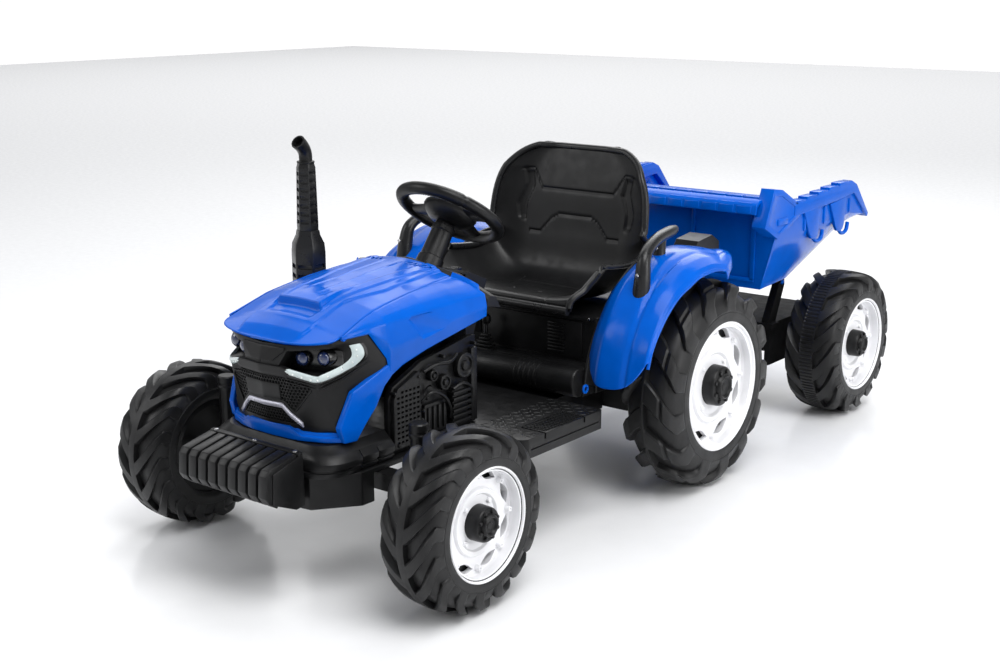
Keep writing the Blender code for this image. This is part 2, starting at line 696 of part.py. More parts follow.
def drive_unit(name, sign):
    """Gearbox with its motor on the rear axle, inside the seat box."""
    low, high = sorted((sign * 0.150, sign * 0.188))
    unit = to_object(f"gearbox_{name}", block((low, high), (-0.045, 0.060), (0.152, 0.232)), "black_plastic")
    fuse(
        unit,
        rod((sign * 0.060, 0.035, 0.205), (sign * 0.151, 0.035, 0.205), 0.0185),
        rod((sign * 0.187, 0, REAR_RADIUS), (sign * 0.216, 0, REAR_RADIUS), 0.0185),
    )
    carve(unit, rod((sign * 0.1, 0, REAR_RADIUS), (sign * 0.25, 0, REAR_RADIUS), AXLE_HOLE))


def plain_parts():
    to_object("battery", block((-0.075, 0.075), (-0.185, -0.115), (0.2025, 0.297)), "black_plastic")
    reach = WHEELS["rear"][3] - 0.006
    to_object("rear_axle", rod((-reach, 0, REAR_RADIUS), (reach, 0, REAR_RADIUS), AXLE_RADIUS), "steel")
    reach = WHEELS["trailer"][3] - 0.006
    start, end = (-reach, TRAILER_AXLE, TRAILER_RADIUS), (reach, TRAILER_AXLE, TRAILER_RADIUS)
    to_object("trailer_axle", rod(start, end, AXLE_RADIUS), "steel", (0, TRAILER_AXLE, TRAILER_RADIUS))


def front_beam():
    """Axle beam with a kingpin tower at each end."""
    beam = block((-0.205, 0.205), (-0.705, -0.675), (0.153, 0.1795))
    beam = to_object("front_beam", beam, "black_plastic")
    towers, bores = [], []
    for sign in SIDES.values():
        x = sign * KINGPIN_X
        towers.append(rod((x, FRONT_AXLE, 0.153), (x, FRONT_AXLE, 0.267), 0.0145, 0.0125))
        bores.append(rod((x, FRONT_AXLE, 0.14), (x, FRONT_AXLE, 0.262), 0.0082))
    fuse(beam, *towers)
    carve(beam, *bores)


def knuckle(name, sign):
    """Kingpin, stub axle and steering arm of one front wheel."""
    x = sign * KINGPIN_X
    pivot = (x, FRONT_AXLE, FRONT_RADIUS)
    body = block((x - 0.012, x + 0.012), (FRONT_AXLE - 0.012, FRONT_AXLE + 0.012), (0.1265, 0.1515))
    body = to_object(f"knuckle_{name}", body, "steel", pivot)
    arm_y = FRONT_AXLE + KNUCKLE_ARM
    end = sign * (WHEELS["front"][3] - 0.006)
    fuse(
        body,
        rod((x, FRONT_AXLE, 0.14), (x, FRONT_AXLE, 0.258), 0.0065),
        rod((x, FRONT_AXLE, FRONT_RADIUS), (end, FRONT_AXLE, FRONT_RADIUS), AXLE_RADIUS),
        block((x - 0.009, x + 0.009), (FRONT_AXLE, arm_y + 0.009), (0.1255, 0.1315)),
        rod((x, arm_y, 0.13), (x, arm_y, 0.146), 0.004, sides=12),
    )


def tie_rod():
    """Bar between the steering arms, with a slotted tongue for the crank."""
    arm_y = FRONT_AXLE + KNUCKLE_ARM
    bar = block((-0.226, 0.226), (arm_y - 0.013, arm_y + 0.011), TIE_ROD_Z)
    bar = to_object("tie_rod", bar, "steel", (0, arm_y, TIE_ROD_Z[0]))
    fuse(bar, block((-0.017, 0.017), (arm_y, -0.583), TIE_ROD_Z))
    low, high = TIE_ROD_Z[0] - 0.01, TIE_ROD_Z[1] + 0.01
    slots = [block((-0.0065, 0.0065), (-0.6185, -0.5885), (low, high))]
    for sign in SIDES.values():
        x = sign * KINGPIN_X
        slots.append(block((x - 0.0058, x + 0.0058), (arm_y - 0.0098, arm_y + 0.0055), (low, high)))
    carve(bar, *slots)


def steering():
    """Wheel, shaft with its crank, and the horn button in the hub."""
    centre_radius, tube = 0.0875, 0.0105
    ring = bmesh.new()
    across = Vector((1, 0, 0))
    along = STEER_AXIS.cross(across)
    rim_steps, tube_steps = 28, 8
    loops = []
    for k in range(rim_steps):
        a = math.tau * k / rim_steps
        out = math.cos(a) * across + math.sin(a) * along
        loops.append(
            [ring.verts.new(STEER_HUB + out * (centre_radius + tube * math.cos(b)) + STEER_AXIS * tube * math.sin(b))
             for b in (math.tau * i / tube_steps for i in range(tube_steps))]
        )
    for k in range(rim_steps):
        here, there = loops[k], loops[(k + 1) % rim_steps]
        for i in range(tube_steps):
            j = (i + 1) % tube_steps
            ring.faces.new((here[i], here[j], there[j], there[i]))
    wheel_object = to_object("steering_wheel", ring, "black_plastic", STEER_HUB)
    spokes = []
    for degrees in (0, 180, 270):
        a = math.radians(degrees)
        out = math.cos(a) * across - math.sin(a) * along
        spokes.append(
            rod(STEER_HUB - STEER_AXIS * 0.004, STEER_HUB + out * centre_radius, 0.011, 0.0085, 8)
        )
    hub = rod(STEER_HUB - STEER_AXIS * 0.020, STEER_HUB + STEER_AXIS * 0.018, 0.033, 0.026)
    fuse(wheel_object, hub, *spokes)
    carve(
        wheel_object,
        rod(STEER_HUB - STEER_AXIS * 0.03, STEER_HUB - STEER_AXIS * 0.004, 0.0078),
        rod(STEER_HUB + STEER_AXIS * 0.010, STEER_HUB + STEER_AXIS * 0.03, 0.0205),
    )
    crank = column_point(CRANK_Z)
    shaft = to_object("steering_shaft", rod(crank - STEER_AXIS * 0.004, STEER_HUB - STEER_AXIS * 0.007, 0.007),
                      "steel", STEER_HUB)
    knee = crank + CRANK_DIR * CRANK_ARM
    fuse(
        shaft,
        rod(crank, knee + CRANK_DIR * 0.003, 0.0052, sides=10),
        rod(knee + STEER_AXIS * 0.005, knee - STEER_AXIS * 0.030, 0.004, sides=10),
    )
    button = rod(STEER_HUB + STEER_AXIS * 0.0145, STEER_HUB + STEER_AXIS * 0.0290, 0.0195, 0.0150)
    to_object("horn_button", button, "black_plastic", STEER_HUB)


PEDAL_HINGE = Vector((-0.170, -0.345, 0.2085))
POWER_CENTRE = Vector((0.053, -0.4195, 0.4325))
ROCKER_HINGE = Vector((-0.053, -0.4195, 0.4330))


def controls():
    """Foot pedal, power button and the forward and reverse rocker."""
    y, z = PEDAL_HINGE.y, PEDAL_HINGE.z
    side = [(y - 0.004, z - 0.004), (y + 0.004, z - 0.004), (y + 0.004, z + 0.005),
            (y - 0.088, z + 0.040), (y - 0.091, z + 0.034)]
    to_object("pedal", prism(side, "x", -0.196, -0.144), "black_plastic", PEDAL_HINGE)
    power = block((0.0430, 0.0630), (-0.431, -0.408), (0.4245, 0.4405))
    to_object("power_button", power, "silver_trim", POWER_CENTRE)
    rocker = [(-0.4295, 0.4270), (-0.4095, 0.4270), (-0.4095, 0.4345), (-0.4195, 0.4370), (-0.4295, 0.4430)]
    to_object("direction_switch", prism(rocker, "x", -0.0630, -0.0430), "black_plastic", ROCKER_HINGE)


# ---------------------------------------------------------------- trailer


def hitch():
    """Clevis on the rear body and the pin that drops through it."""
    bracket = to_object("hitch_bracket", block((-0.045, 0.045), (0.1308, 0.1368), (0.142, 0.200)), "black_plastic")
    levels = ((HITCH_Z - 0.016, HITCH_Z - 0.010), (HITCH_Z + 0.010, HITCH_Z + 0.016))
    fuse(bracket, *[block((-0.022, 0.022), (0.134, 0.246), level) for level in levels])
    carve(bracket, rod((0, HITCH_Y, 0.12), (0, HITCH_Y, 0.21), 0.0066))
    foot = Vector((0, HITCH_Y, HITCH_Z - 0.030))
    top = Vector((0, HITCH_Y, HITCH_Z + 0.0165))
    pin = to_object("hitch_pin", rod(foot, top + Vector((0, 0, 0.001)), 0.005), "steel", (0, HITCH_Y, HITCH_Z))
    fuse(pin, rod(top, top + Vector((0, 0, 0.006)), 0.011))


def trailer_frame():
    """Drawbar, deck, side plates and the leaning posts that carry the tub's hinge."""
    eye = [(0.018 * math.cos(a), HITCH_Y + 0.018 * math.sin(a))
           for a in (math.radians(180 + 22.5 * k) for k in range(9))]
    outline = eye + [(0.018, 0.450), (-0.018, 0.450)]
    frame = to_object(
        "trailer_frame", prism(outline, "z", HITCH_Z - 0.009, HITCH_Z + 0.009), "black_plastic",
        (0, HITCH_Y, HITCH_Z),
    )
    solids = [
        block((-0.185, 0.185), (0.446, 0.456), (0.140, 0.196)),
        block((-0.188, 0.188), (0.446, 0.690), (0.190, 0.200)),
        block((-0.030, 0.030), (0.400, 0.425), (HITCH_Z - 0.009, 0.2975)),
        block((-0.014, 0.014), (0.420, 0.452), (HITCH_Z, 0.240)),
    ]
    y, z = TIP_HINGE.y, TIP_HINGE.z
    for sign in SIDES.values():
        solids.append(block(sorted((sign * 0.184, sign * 0.194)), (0.445, 0.680), (0.110, 0.2001)))
        solids.append(block(sorted((sign * 0.178, sign * 0.201)), (0.441, 0.475), (0.188, 0.2003)))
        post = [(0.446, 0.195), (0.480, 0.195), (y + 0.011, z - 0.006), (y + 0.009, z + 0.008),
                (y - 0.002, z + 0.011), (y - 0.011, z + 0.004)]
        solids.append(prism(post, "x", *sorted((sign * 0.172, sign * 0.188))))
    fuse(frame, *solids)
    carve(
        frame,
        rod((0, HITCH_Y, 0.12), (0, HITCH_Y, 0.21), 0.0068),
        rod((-0.25, TRAILER_AXLE, TRAILER_RADIUS), (0.25, TRAILER_AXLE, TRAILER_RADIUS), AXLE_HOLE),
        rod((-0.25, y, z), (0.25, y, z), 0.0066),
    )


# Tub stations: y, floor z, floor half width, knee half width, knee z, top z
TUB_STATIONS = [
    (0.327, 0.2985, 0.229, 0.2565, 0.402, 0.470),
    (0.450, 0.3010, 0.222, 0.2565, 0.402, 0.470),
    (0.560, 0.3340, 0.219, 0.2565, 0.405, 0.474),
    (0.668, 0.3685, 0.218, 0.2565, 0.414, 0.474),
    (0.752, 0.3950, 0.222, 0.2565, 0.402, 0.406),
]
TUB_SIDE = 0.262


def tub_rings(inset, lift):
    """Cross rings of the tub, shrunk by the inset and raised by the lift."""
    rings = []
    for k, (y, floor, low, knee, knee_z, top) in enumerate(TUB_STATIONS):
        y += inset if k == 0 else 0
        half = [(low - inset, floor + lift), (knee - inset, knee_z + lift * 0.6), (knee - inset, top)]
        rings.append([(x, y, z) for x, z in half] + [(-x, y, z) for x, z in reversed(half)])
    return rings


def tub():
    """Tipping tub: thin walls, a rolled rim, corner posts, tie hooks and hinge ears."""
    body = to_object("tub", lofted(tub_rings(0, 0)), "blue_shell", TIP_HINGE)
    lip = [(0.275, 0.4570), (0.289, 0.484), (0.330, 0.490), (0.331, 0.4570)]
    rails = [prism(lip, "x", -0.240, 0.240)]
    for sign in SIDES.values():
        rim = [(0.400, 0.440), (0.400, 0.466), (0.663, 0.485), (0.688, 0.475), (0.755, 0.404),
               (0.750, 0.396), (0.678, 0.457), (0.590, 0.449)]
        rails.append(prism(rim, "x", *sorted((sign * 0.236, sign * TUB_SIDE))))
        post = [(0.275, 0.433), (0.309, 0.506), (0.344, 0.501), (0.415, 0.466), (0.424, 0.440),
                (0.331, 0.404)]
        rails.append(prism(post, "x", *sorted((sign * 0.230, sign * (TUB_SIDE + 0.0002)))))
        for y in (0.485, 0.606):
            hook = [(y - 0.028, 0.445), (y + 0.026, 0.452), (y + 0.024, 0.388), (y + 0.050, 0.388),
                    (y + 0.050, 0.402), (y + 0.060, 0.402), (y + 0.060, 0.376), (y + 0.006, 0.374)]
            rails.append(prism(hook, "x", *sorted((sign * 0.250, sign * 0.2605))))
        y, z = TIP_HINGE.y, TIP_HINGE.z
        ear = [(y - 0.024, 0.3125), (y + 0.036, 0.3305), (y + 0.008, z - 0.007), (y - 0.008, z - 0.007)]
        rails.append(prism(ear, "x", *sorted((sign * 0.154, sign * 0.168))))
        rails.append(rod((sign * 0.158, y, z), (sign * 0.190, y, z), 0.005, sides=12))
    fuse(body, *rails)
    hollow = [[Vector(p) for p in ring] for ring in tub_rings(WALL, WALL)]
    run = Vector((0, 0.20, 0.063))
    hollow.append([p + run for p in hollow[-1]])
    for ring in hollow:
        for k in (2, 3):
            ring[k].z = 0.60
    carve(body, lofted(hollow))


def build():
    for place in WHEELS:
        for side_name in SIDES:
            wheel(place, side_name)
    for make in (chassis_tray, footboard, front_bumper, bumper_skirt, bonnet_top, bonnet_shell, face_mask,
                 grille_strip, dash_panel, exhaust, seat_box, seat, rear_deck, plain_parts,
                 front_beam, tie_rod, steering, controls, hitch, trailer_frame, tub):
        make()
    for side_name, sign in SIDES.items():
        for make in (headlamp, led_strip, engine_cover, fender, grab_handle, drive_unit, knuckle):
            make(side_name, sign)


clear_scene()
DATUM = bpy.data.objects.new("datum", None)
bpy.context.scene.collection.objects.link(DATUM)
DATUM.location = (0, REAR_AXLE_Y, 0)
build()
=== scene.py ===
"""Looks of the toy tractor with its tipping trailer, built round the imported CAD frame.

Metres, +Z up, front towards -Y, driver's left towards +X. Every y in the shape code is measured from
the rear axle; `piece` moves the finished shape to the frame's own place for that axle.
"""

import math

import bmesh
import bpy
import numpy as np
from mathutils import Matrix, Vector


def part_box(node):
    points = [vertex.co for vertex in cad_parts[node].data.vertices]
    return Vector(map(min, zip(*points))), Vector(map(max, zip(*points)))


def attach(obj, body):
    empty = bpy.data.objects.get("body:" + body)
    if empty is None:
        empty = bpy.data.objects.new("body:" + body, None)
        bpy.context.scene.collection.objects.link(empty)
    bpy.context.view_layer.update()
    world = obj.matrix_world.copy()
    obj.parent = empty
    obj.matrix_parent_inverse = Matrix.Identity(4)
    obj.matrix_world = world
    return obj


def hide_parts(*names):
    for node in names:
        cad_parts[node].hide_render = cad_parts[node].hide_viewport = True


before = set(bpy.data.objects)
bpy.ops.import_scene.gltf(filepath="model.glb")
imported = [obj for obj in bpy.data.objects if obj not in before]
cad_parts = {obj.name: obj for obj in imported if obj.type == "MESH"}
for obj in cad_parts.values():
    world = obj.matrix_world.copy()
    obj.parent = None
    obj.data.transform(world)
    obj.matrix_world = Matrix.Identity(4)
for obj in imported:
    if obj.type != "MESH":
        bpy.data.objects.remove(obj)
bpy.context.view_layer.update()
SIDES = {"left": 1, "right": -1}


def middle(node):
    low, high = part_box(node)
    return (low + high) / 2


AXLE_Y = middle("rear_axle").y
REAR_Z = middle("rear_axle").z
FRONT_AXLE = middle("front_tyre_left").y - AXLE_Y
TRAILER_AXLE = middle("trailer_axle").y - AXLE_Y


# ---------------------------------------------------------------- materials

# Base colour, its darker variation, roughness range, grain size in metres, grain depth, metallic,
# coat weight, specular level
FINISHES = {
    "gloss_blue": ((0.0, 0.095, 0.53), (0.0, 0.084, 0.475), (0.14, 0.22), 0.003, 0.015, 0.0, 0.03, 0.14),
    "satin_black": ((0.0072, 0.0073, 0.0078), (0.005, 0.005, 0.0053), (0.3, 0.44), 0.0006, 0.1, 0.0, 0.0,
                    0.26),
    "frame_black": ((0.0055, 0.0055, 0.006), (0.004, 0.004, 0.0044), (0.6, 0.72), 0.001, 0.12, 0.0, 0.0,
                    0.08),
    "gloss_black": ((0.006, 0.006, 0.0066), (0.0045, 0.0045, 0.0048), (0.16, 0.26), 0.003, 0.03, 0.0, 0.2,
                    0.5),
    "tyre_rubber": ((0.01, 0.01, 0.0105), (0.006, 0.006, 0.0064), (0.34, 0.52), 0.0008, 0.14, 0.0, 0.0, 0.32),
    "handle_grey": ((0.0115, 0.0118, 0.0125), (0.0085, 0.0085, 0.009), (0.24, 0.36), 0.0007, 0.08, 0.0, 0.0,
                    0.34),
    "rim_white": ((0.86, 0.865, 0.88), (0.8, 0.805, 0.83), (0.22, 0.34), 0.002, 0.03, 0.0, 0.1, 0.5),
    "silver_paint": ((0.52, 0.52, 0.6), (0.44, 0.44, 0.51), (0.26, 0.38), 0.0008, 0.05, 0.45, 0.2, 0.5),
    "bright_steel": ((0.56, 0.56, 0.57), (0.42, 0.42, 0.43), (0.2, 0.38), 0.001, 0.05, 1.0, 0.0, 0.5),
    "dark_lens": ((0.01, 0.023, 0.09), (0.006, 0.012, 0.05), (0.03, 0.07), 0.004, 0.02, 0.0, 1.0, 0.6),
    "milky_led": ((0.62, 0.7, 0.69), (0.52, 0.61, 0.62), (0.12, 0.22), 0.0015, 0.06, 0.0, 0.5, 0.5),
    "white_led": ((0.9, 0.93, 0.9), (0.82, 0.86, 0.84), (0.15, 0.25), 0.001, 0.03, 0.0, 0.3, 0.5),
    "pale_floor": ((0.9, 0.905, 0.915), (0.885, 0.89, 0.9), (0.16, 0.22), 0.05, 0.0, 0.0, 0.0, 0.35),
}


def finish(name):
    """The procedural material of that name: mottled colour, uneven roughness and a moulded grain."""
    made = bpy.data.materials.get(name)
    if made:
        return made
    colour, dark, roughness, grain, depth, metallic, coat, specular = FINISHES[name]
    made = bpy.data.materials.new(name)
    made.use_nodes = True
    nodes, links = made.node_tree.nodes, made.node_tree.links
    shader = nodes["Principled BSDF"]
    shader.inputs["Metallic"].default_value = metallic
    shader.inputs["Coat Weight"].default_value = coat
    shader.inputs["Coat Roughness"].default_value = 0.08
    shader.inputs["Specular IOR Level"].default_value = specular
    place = nodes.new("ShaderNodeTexCoord")

    def noise(size, detail):
        found = nodes.new("ShaderNodeTexNoise")
        found.inputs["Scale"].default_value = 1 / size
        found.inputs["Detail"].default_value = detail
        links.new(place.outputs["Object"], found.inputs["Vector"])
        return found.outputs["Fac"]

    ramp = nodes.new("ShaderNodeValToRGB")
    ramp.color_ramp.elements[0].position = 0.3
    ramp.color_ramp.elements[0].color = (*dark, 1)
    ramp.color_ramp.elements[1].position = 0.62
    ramp.color_ramp.elements[1].color = (*colour, 1)
    links.new(noise(0.045, 3), ramp.inputs["Fac"])
    links.new(ramp.outputs["Color"], shader.inputs["Base Color"])
    spread = nodes.new("ShaderNodeMapRange")
    spread.inputs["From Min"].default_value = 0.3
    spread.inputs["From Max"].default_value = 0.7
    spread.inputs["To Min"].default_value, spread.inputs["To Max"].default_value = roughness
    links.new(noise(0.02, 4), spread.inputs["Value"])
    links.new(spread.outputs["Result"], shader.inputs["Roughness"])
    if depth:
        bump = nodes.new("ShaderNodeBump")
        bump.inputs["Strength"].default_value = depth
        bump.inputs["Distance"].default_value = grain
        links.new(noise(grain, 2), bump.inputs["Height"])
        links.new(bump.outputs["Normal"], shader.inputs["Normal"])
    return made


# ---------------------------------------------------------------- shape helpers


def merged(*parts):
    """One bmesh that holds all the given ones."""
    whole = bmesh.new()
    for part in parts:
        bmesh.ops.recalc_face_normals(part, faces=part.faces)
        mesh = bpy.data.meshes.new("part")
        part.to_mesh(mesh)
        part.free()
        whole.from_mesh(mesh)
        bpy.data.meshes.remove(mesh)
    return whole


def shift(bm, vector):
    bmesh.ops.translate(bm, verts=bm.verts, vec=Vector(vector))
    return bm


def turn(bm, degrees, axis, centre=(0, 0, 0)):
    matrix = Matrix.Rotation(math.radians(degrees), 3, axis)
    bmesh.ops.rotate(bm, verts=bm.verts, cent=Vector(centre), matrix=matrix)
    return bm


def flip_x(bm):
    for vert in bm.verts:
        vert.co.x = -vert.co.x
    bmesh.ops.reverse_faces(bm, faces=bm.faces)
    return bm


def sided(bm, sign):
    return bm if sign > 0 else flip_x(bm)


def prism(outline, axis, low, high):
    """A closed outline extruded along an axis. Outline points are (y, z), (x, z) or (x, y)."""
    place = {
        "x": lambda a, b, c: (c, a, b),
        "y": lambda a, b, c: (a, c, b),
        "z": lambda a, b, c: (a, b, c),
    }[axis]
    bm = bmesh.new()
    ends = [[bm.verts.new(place(a, b, c)) for a, b in outline] for c in (low, high)]
    for i in range(len(outline)):
        j = (i + 1) % len(outline)
        bm.faces.new((ends[0][i], ends[0][j], ends[1][j], ends[1][i]))
    for end in ends:
        bm.faces.new(end)
    bmesh.ops.recalc_face_normals(bm, faces=bm.faces)
    return bm


def block(x, y, z):
    """A box from three (low, high) pairs."""
    return prism([(x[0], y[0]), (x[1], y[0]), (x[1], y[1]), (x[0], y[1])], "z", *z)


def turned(profile, centre=(0, 0, 0), axis="x", steps=64, closed=True):
    """A profile of (along, radius) points turned round an axis through the centre."""
    bm = bmesh.new()
    rings = []
    for along, radius in profile:
        if radius < 1e-6:
            rings.append([bm.verts.new((along, 0, 0))] * steps)
            continue
        angles = [math.tau * k / steps for k in range(steps)]
        rings.append([bm.verts.new((along, radius * math.cos(a), radius * math.sin(a))) for a in angles])
    pairs = list(zip(rings, rings[1:] + rings[:1])) if closed else list(zip(rings, rings[1:]))
    for low, high in pairs:
        for i in range(steps):
            j = (i + 1) % steps
            corners = []
            for vert in (low[i], low[j], high[j], high[i]):
                if vert not in corners:
                    corners.append(vert)
            if len(corners) > 2:
                bm.faces.new(corners)
    bmesh.ops.recalc_face_normals(bm, faces=bm.faces)
    if axis == "z":
        turn(bm, -90, "Y")
    if axis == "y":
        turn(bm, 90, "Z")
    return shift(bm, centre)


def facing(direction):
    """The turn that takes +X to a direction."""
    return Vector(direction).to_track_quat("X", "Z").to_matrix()


def turned_along(profile, start, direction, steps=48, closed=True):
    """A profile turned round any line: start is where along is 0."""
    bm = turned(profile, steps=steps, closed=closed)
    bmesh.ops.rotate(bm, verts=bm.verts, cent=(0, 0, 0), matrix=facing(direction))
    return shift(bm, start)


def rod(start, end, radius, end_radius=None, sides=24):
    """A round bar, straight or tapered."""
    start, end = Vector(start), Vector(end)
    length = (end - start).length
    last = radius if end_radius is None else end_radius
    return turned_along([(0, 0), (0, radius), (length, last), (length, 0)], start, end - start, sides)


def lofted(rings, capped=True):
    """A solid through rings of the same number of points."""
    bm = bmesh.new()
    rows = [[bm.verts.new(Vector(point)) for point in ring] for ring in rings]
    count = len(rows[0])
    for low, high in zip(rows, rows[1:]):
        for i in range(count):
            j = (i + 1) % count
            bm.faces.new((low[i], low[j], high[j], high[i]))
    if capped:
        bm.faces.new(rows[0])
        bm.faces.new(rows[-1])
    bmesh.ops.recalc_face_normals(bm, faces=bm.faces)
    return bm


def sheet(rows):
    """An open surface through a grid of points."""
    bm = bmesh.new()
    grid = [[bm.verts.new(Vector(point)) for point in row] for row in rows]
    for low, high in zip(grid, grid[1:]):
        for i in range(len(low) - 1):
            bm.faces.new((low[i], low[i + 1], high[i + 1], high[i]))
    return bm


def spline(points, count):
    """Points evenly spread by parameter along a Catmull-Rom curve through the given ones."""
    points = [Vector(p) for p in points]
    ends = [2 * points[0] - points[1]] + points + [2 * points[-1] - points[-2]]
    made = []
    for k in range(count):
        t = k / (count - 1) * (len(points) - 1)
        i = min(int(t), len(points) - 2)
        t -= i
        a, b, c, d = ends[i : i + 4]
        cubic = 3 * b - a - 3 * c + d
        made.append(0.5 * (2 * b + (c - a) * t + (2 * a - 5 * b + 4 * c - d) * t**2 + cubic * t**3))
    return made


def swept(path, section, up=(0, 0, 1), closed=False):
    """A section of (side, up) points, or one list per path point, carried along a path."""
    path = [Vector(p) for p in path]
    rings = []
    for k, point in enumerate(path):
        before = path[(k - 1) % len(path)] if closed else path[max(k - 1, 0)]
        after = path[(k + 1) % len(path)] if closed else path[min(k + 1, len(path) - 1)]
        along = (after - before).normalized()
        side = along.cross(Vector(up)).normalized()
        rise = side.cross(along)
        points = section[k] if isinstance(section[0][0], (tuple, list)) else section
        rings.append([point + side * a + rise * b for a, b in points])
    if closed:
        rings.append(rings[0])
        bm = lofted(rings, capped=False)
        bmesh.ops.remove_doubles(bm, verts=bm.verts, dist=1e-7)
        return bm
    return lofted(rings)


def circle(radius, sides=16, squash=1.0):
    return [(radius * math.cos(a), radius * squash * math.sin(a))
            for a in (math.tau * k / sides for k in range(sides))]


def away(point, centre, distance):
    """The (y, z) point moved straight away from a (y, z) centre."""
    step = Vector(point) - Vector(centre)
    return tuple(Vector(point) + step.normalized() * distance)


def mirrored(points):
    """An outline given for +X only, front to back, closed by its mirror image."""
    return points + [(-x, other) for x, other in reversed(points) if x > 1e-6]


def clamped(value):
    """The value held between 0 and 1."""
    return min(1.0, max(0.0, value))


def table(at, pairs):
    """A value read off a table of (place, value) with straight lines between."""
    return float(np.interp(at, [p[0] for p in pairs], [p[1] for p in pairs]))


def bump_at(value, centre, half, soft):
    """1 within half of the centre, falling smoothly to 0 over soft."""
    out = clamped((abs(value - centre) - half) / soft)
    return 1 - out * out * (3 - 2 * out)


def baked(obj):
    """The modifiers worked into the mesh, with smooth shading that keeps edges over 35 degrees."""
    bpy.context.view_layer.update()
    graph = bpy.context.evaluated_depsgraph_get()
    old = obj.data
    mesh = bpy.data.meshes.new_from_object(obj.evaluated_get(graph))
    obj.modifiers.clear()
    obj.data = mesh
    bpy.data.meshes.remove(old)
    mesh.name = obj.name
    mesh.polygons.foreach_set("use_smooth", [True] * len(mesh.polygons))
    mesh.set_sharp_from_angle(angle=math.radians(35))


def plain_object(name, bm, look):
    mesh = bpy.data.meshes.new(name)
    bm.to_mesh(mesh)
    bm.free()
    mesh.materials.append(finish(look))
    obj = bpy.data.objects.new(name, mesh)
    bpy.context.scene.collection.objects.link(obj)
    return obj


def cutter_on(obj, shapes):
    """The shapes cut out of an object. The helper that it returns is removed once the cut is baked."""
    helper = plain_object("helper", merged(*shapes), "satin_black")
    hole = obj.modifiers.new("cut", "BOOLEAN")
    hole.operation = "DIFFERENCE"
    hole.solver = "EXACT"
    hole.object = helper
    return helper


def round_edges(obj, width, segments=2):
    bevel = obj.modifiers.new("round", "BEVEL")
    bevel.width = width
    bevel.segments = segments
    bevel.limit_method = "ANGLE"
    bevel.angle_limit = math.radians(32)
    bevel.use_clamp_overlap = True


def piece(name, bm, look, body="tractor", replaces=(), cut=(), wall=0, bevel=0, segments=2):
    """A finished piece: the shape, walled, cut and edge-rounded, riding on a body."""
    obj = plain_object(name, bm, look)
    if wall:
        thick = obj.modifiers.new("wall", "SOLIDIFY")
        thick.thickness = wall
        thick.offset = -1
    helper = cutter_on(obj, cut) if cut else None
    if bevel:
        round_edges(obj, bevel, segments)
    baked(obj)
    if helper:
        bpy.data.objects.remove(helper)
    obj.data.transform(Matrix.Translation((0, AXLE_Y, 0)))
    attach(obj, body)
    if replaces:
        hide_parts(*replaces)


def dress(node, look):
    """A CAD node that stays: its own procedural material, and rounded edges."""
    for place in node.material_slots:
        place.material = finish(look)
    node.modifiers.new("weld", "WELD").merge_threshold = 1e-5
    round_edges(node, 0.0015)


# ---------------------------------------------------------------- wheels

# Sections as (share of the half width, share of the height from rim to ground)
TREAD_BASE = [(0.975, 0.0), (1.0, 0.06), (1.0, 0.25), (0.99, 0.262), (0.99, 0.275), (0.998, 0.29),
              (0.98, 0.36), (0.93, 0.49), (0.845, 0.62), (0.72, 0.725), (0.61, 0.77), (0.5, 0.795),
              (0.36, 0.81), (0.25, 0.818), (0.175, 0.822)]
TREAD_LUG = [(0.975, 0.0), (1.0, 0.06), (1.0, 0.25), (0.99, 0.262), (0.99, 0.275), (1.0, 0.29),
             (1.0, 0.37), (0.992, 0.53), (0.96, 0.7), (0.885, 0.845), (0.76, 0.915), (0.6, 0.955),
             (0.42, 0.978), (0.28, 0.988), (0.185, 0.992)]
# Place, radius, rim radius, width, outer plane, hub radius, axle y, lugs a side, sweep in degrees,
# half share of the width that the middle band takes
WHEELS = {
    "front": (0.139, 0.086, 0.1, 0.3445, 0.027, FRONT_AXLE, 16, 27, 0.125),
    "rear": (0.19, 0.117, 0.11, 0.3365, 0.037, 0.0, 13, -20, 0.045),
    "trailer": (0.151, 0.0965, 0.114, 0.339, 0.028, TRAILER_AXLE, 15, 25, 0.255),
}


def tyre_section(place):
    """Rows from the outer bead over the tread to the inner bead: width share, base and lug height."""
    band = WHEELS[place][8]
    scale = (1 - band - 0.02) / (1 - 0.185)
    half = []
    for (base_u, base_f), (lug_u, lug_f) in zip(TREAD_BASE, TREAD_LUG):
        fitted = lambda u: band + 0.02 + (u - 0.185) * scale if u > 0.2 else band + 0.02
        half.append((fitted(base_u), base_f, fitted(lug_u), lug_f))
    middle_rows = [(band + 0.005, 0.992, band + 0.005, 0.992), (band * 0.6, 0.998, band * 0.6, 0.998)]
    outer = half + middle_rows
    inner = [(-a, b, -c, d) for a, b, c, d in reversed(outer)]
    return outer + [(0, 1.0, 0, 1.0)] + inner


def finer(rows):
    """The same section with a row put half way between each two."""
    made = [rows[0]]
    for first, second in zip(rows, rows[1:]):
        made.append(tuple((a + b) / 2 for a, b in zip(first, second)))
        made.append(second)
    return made


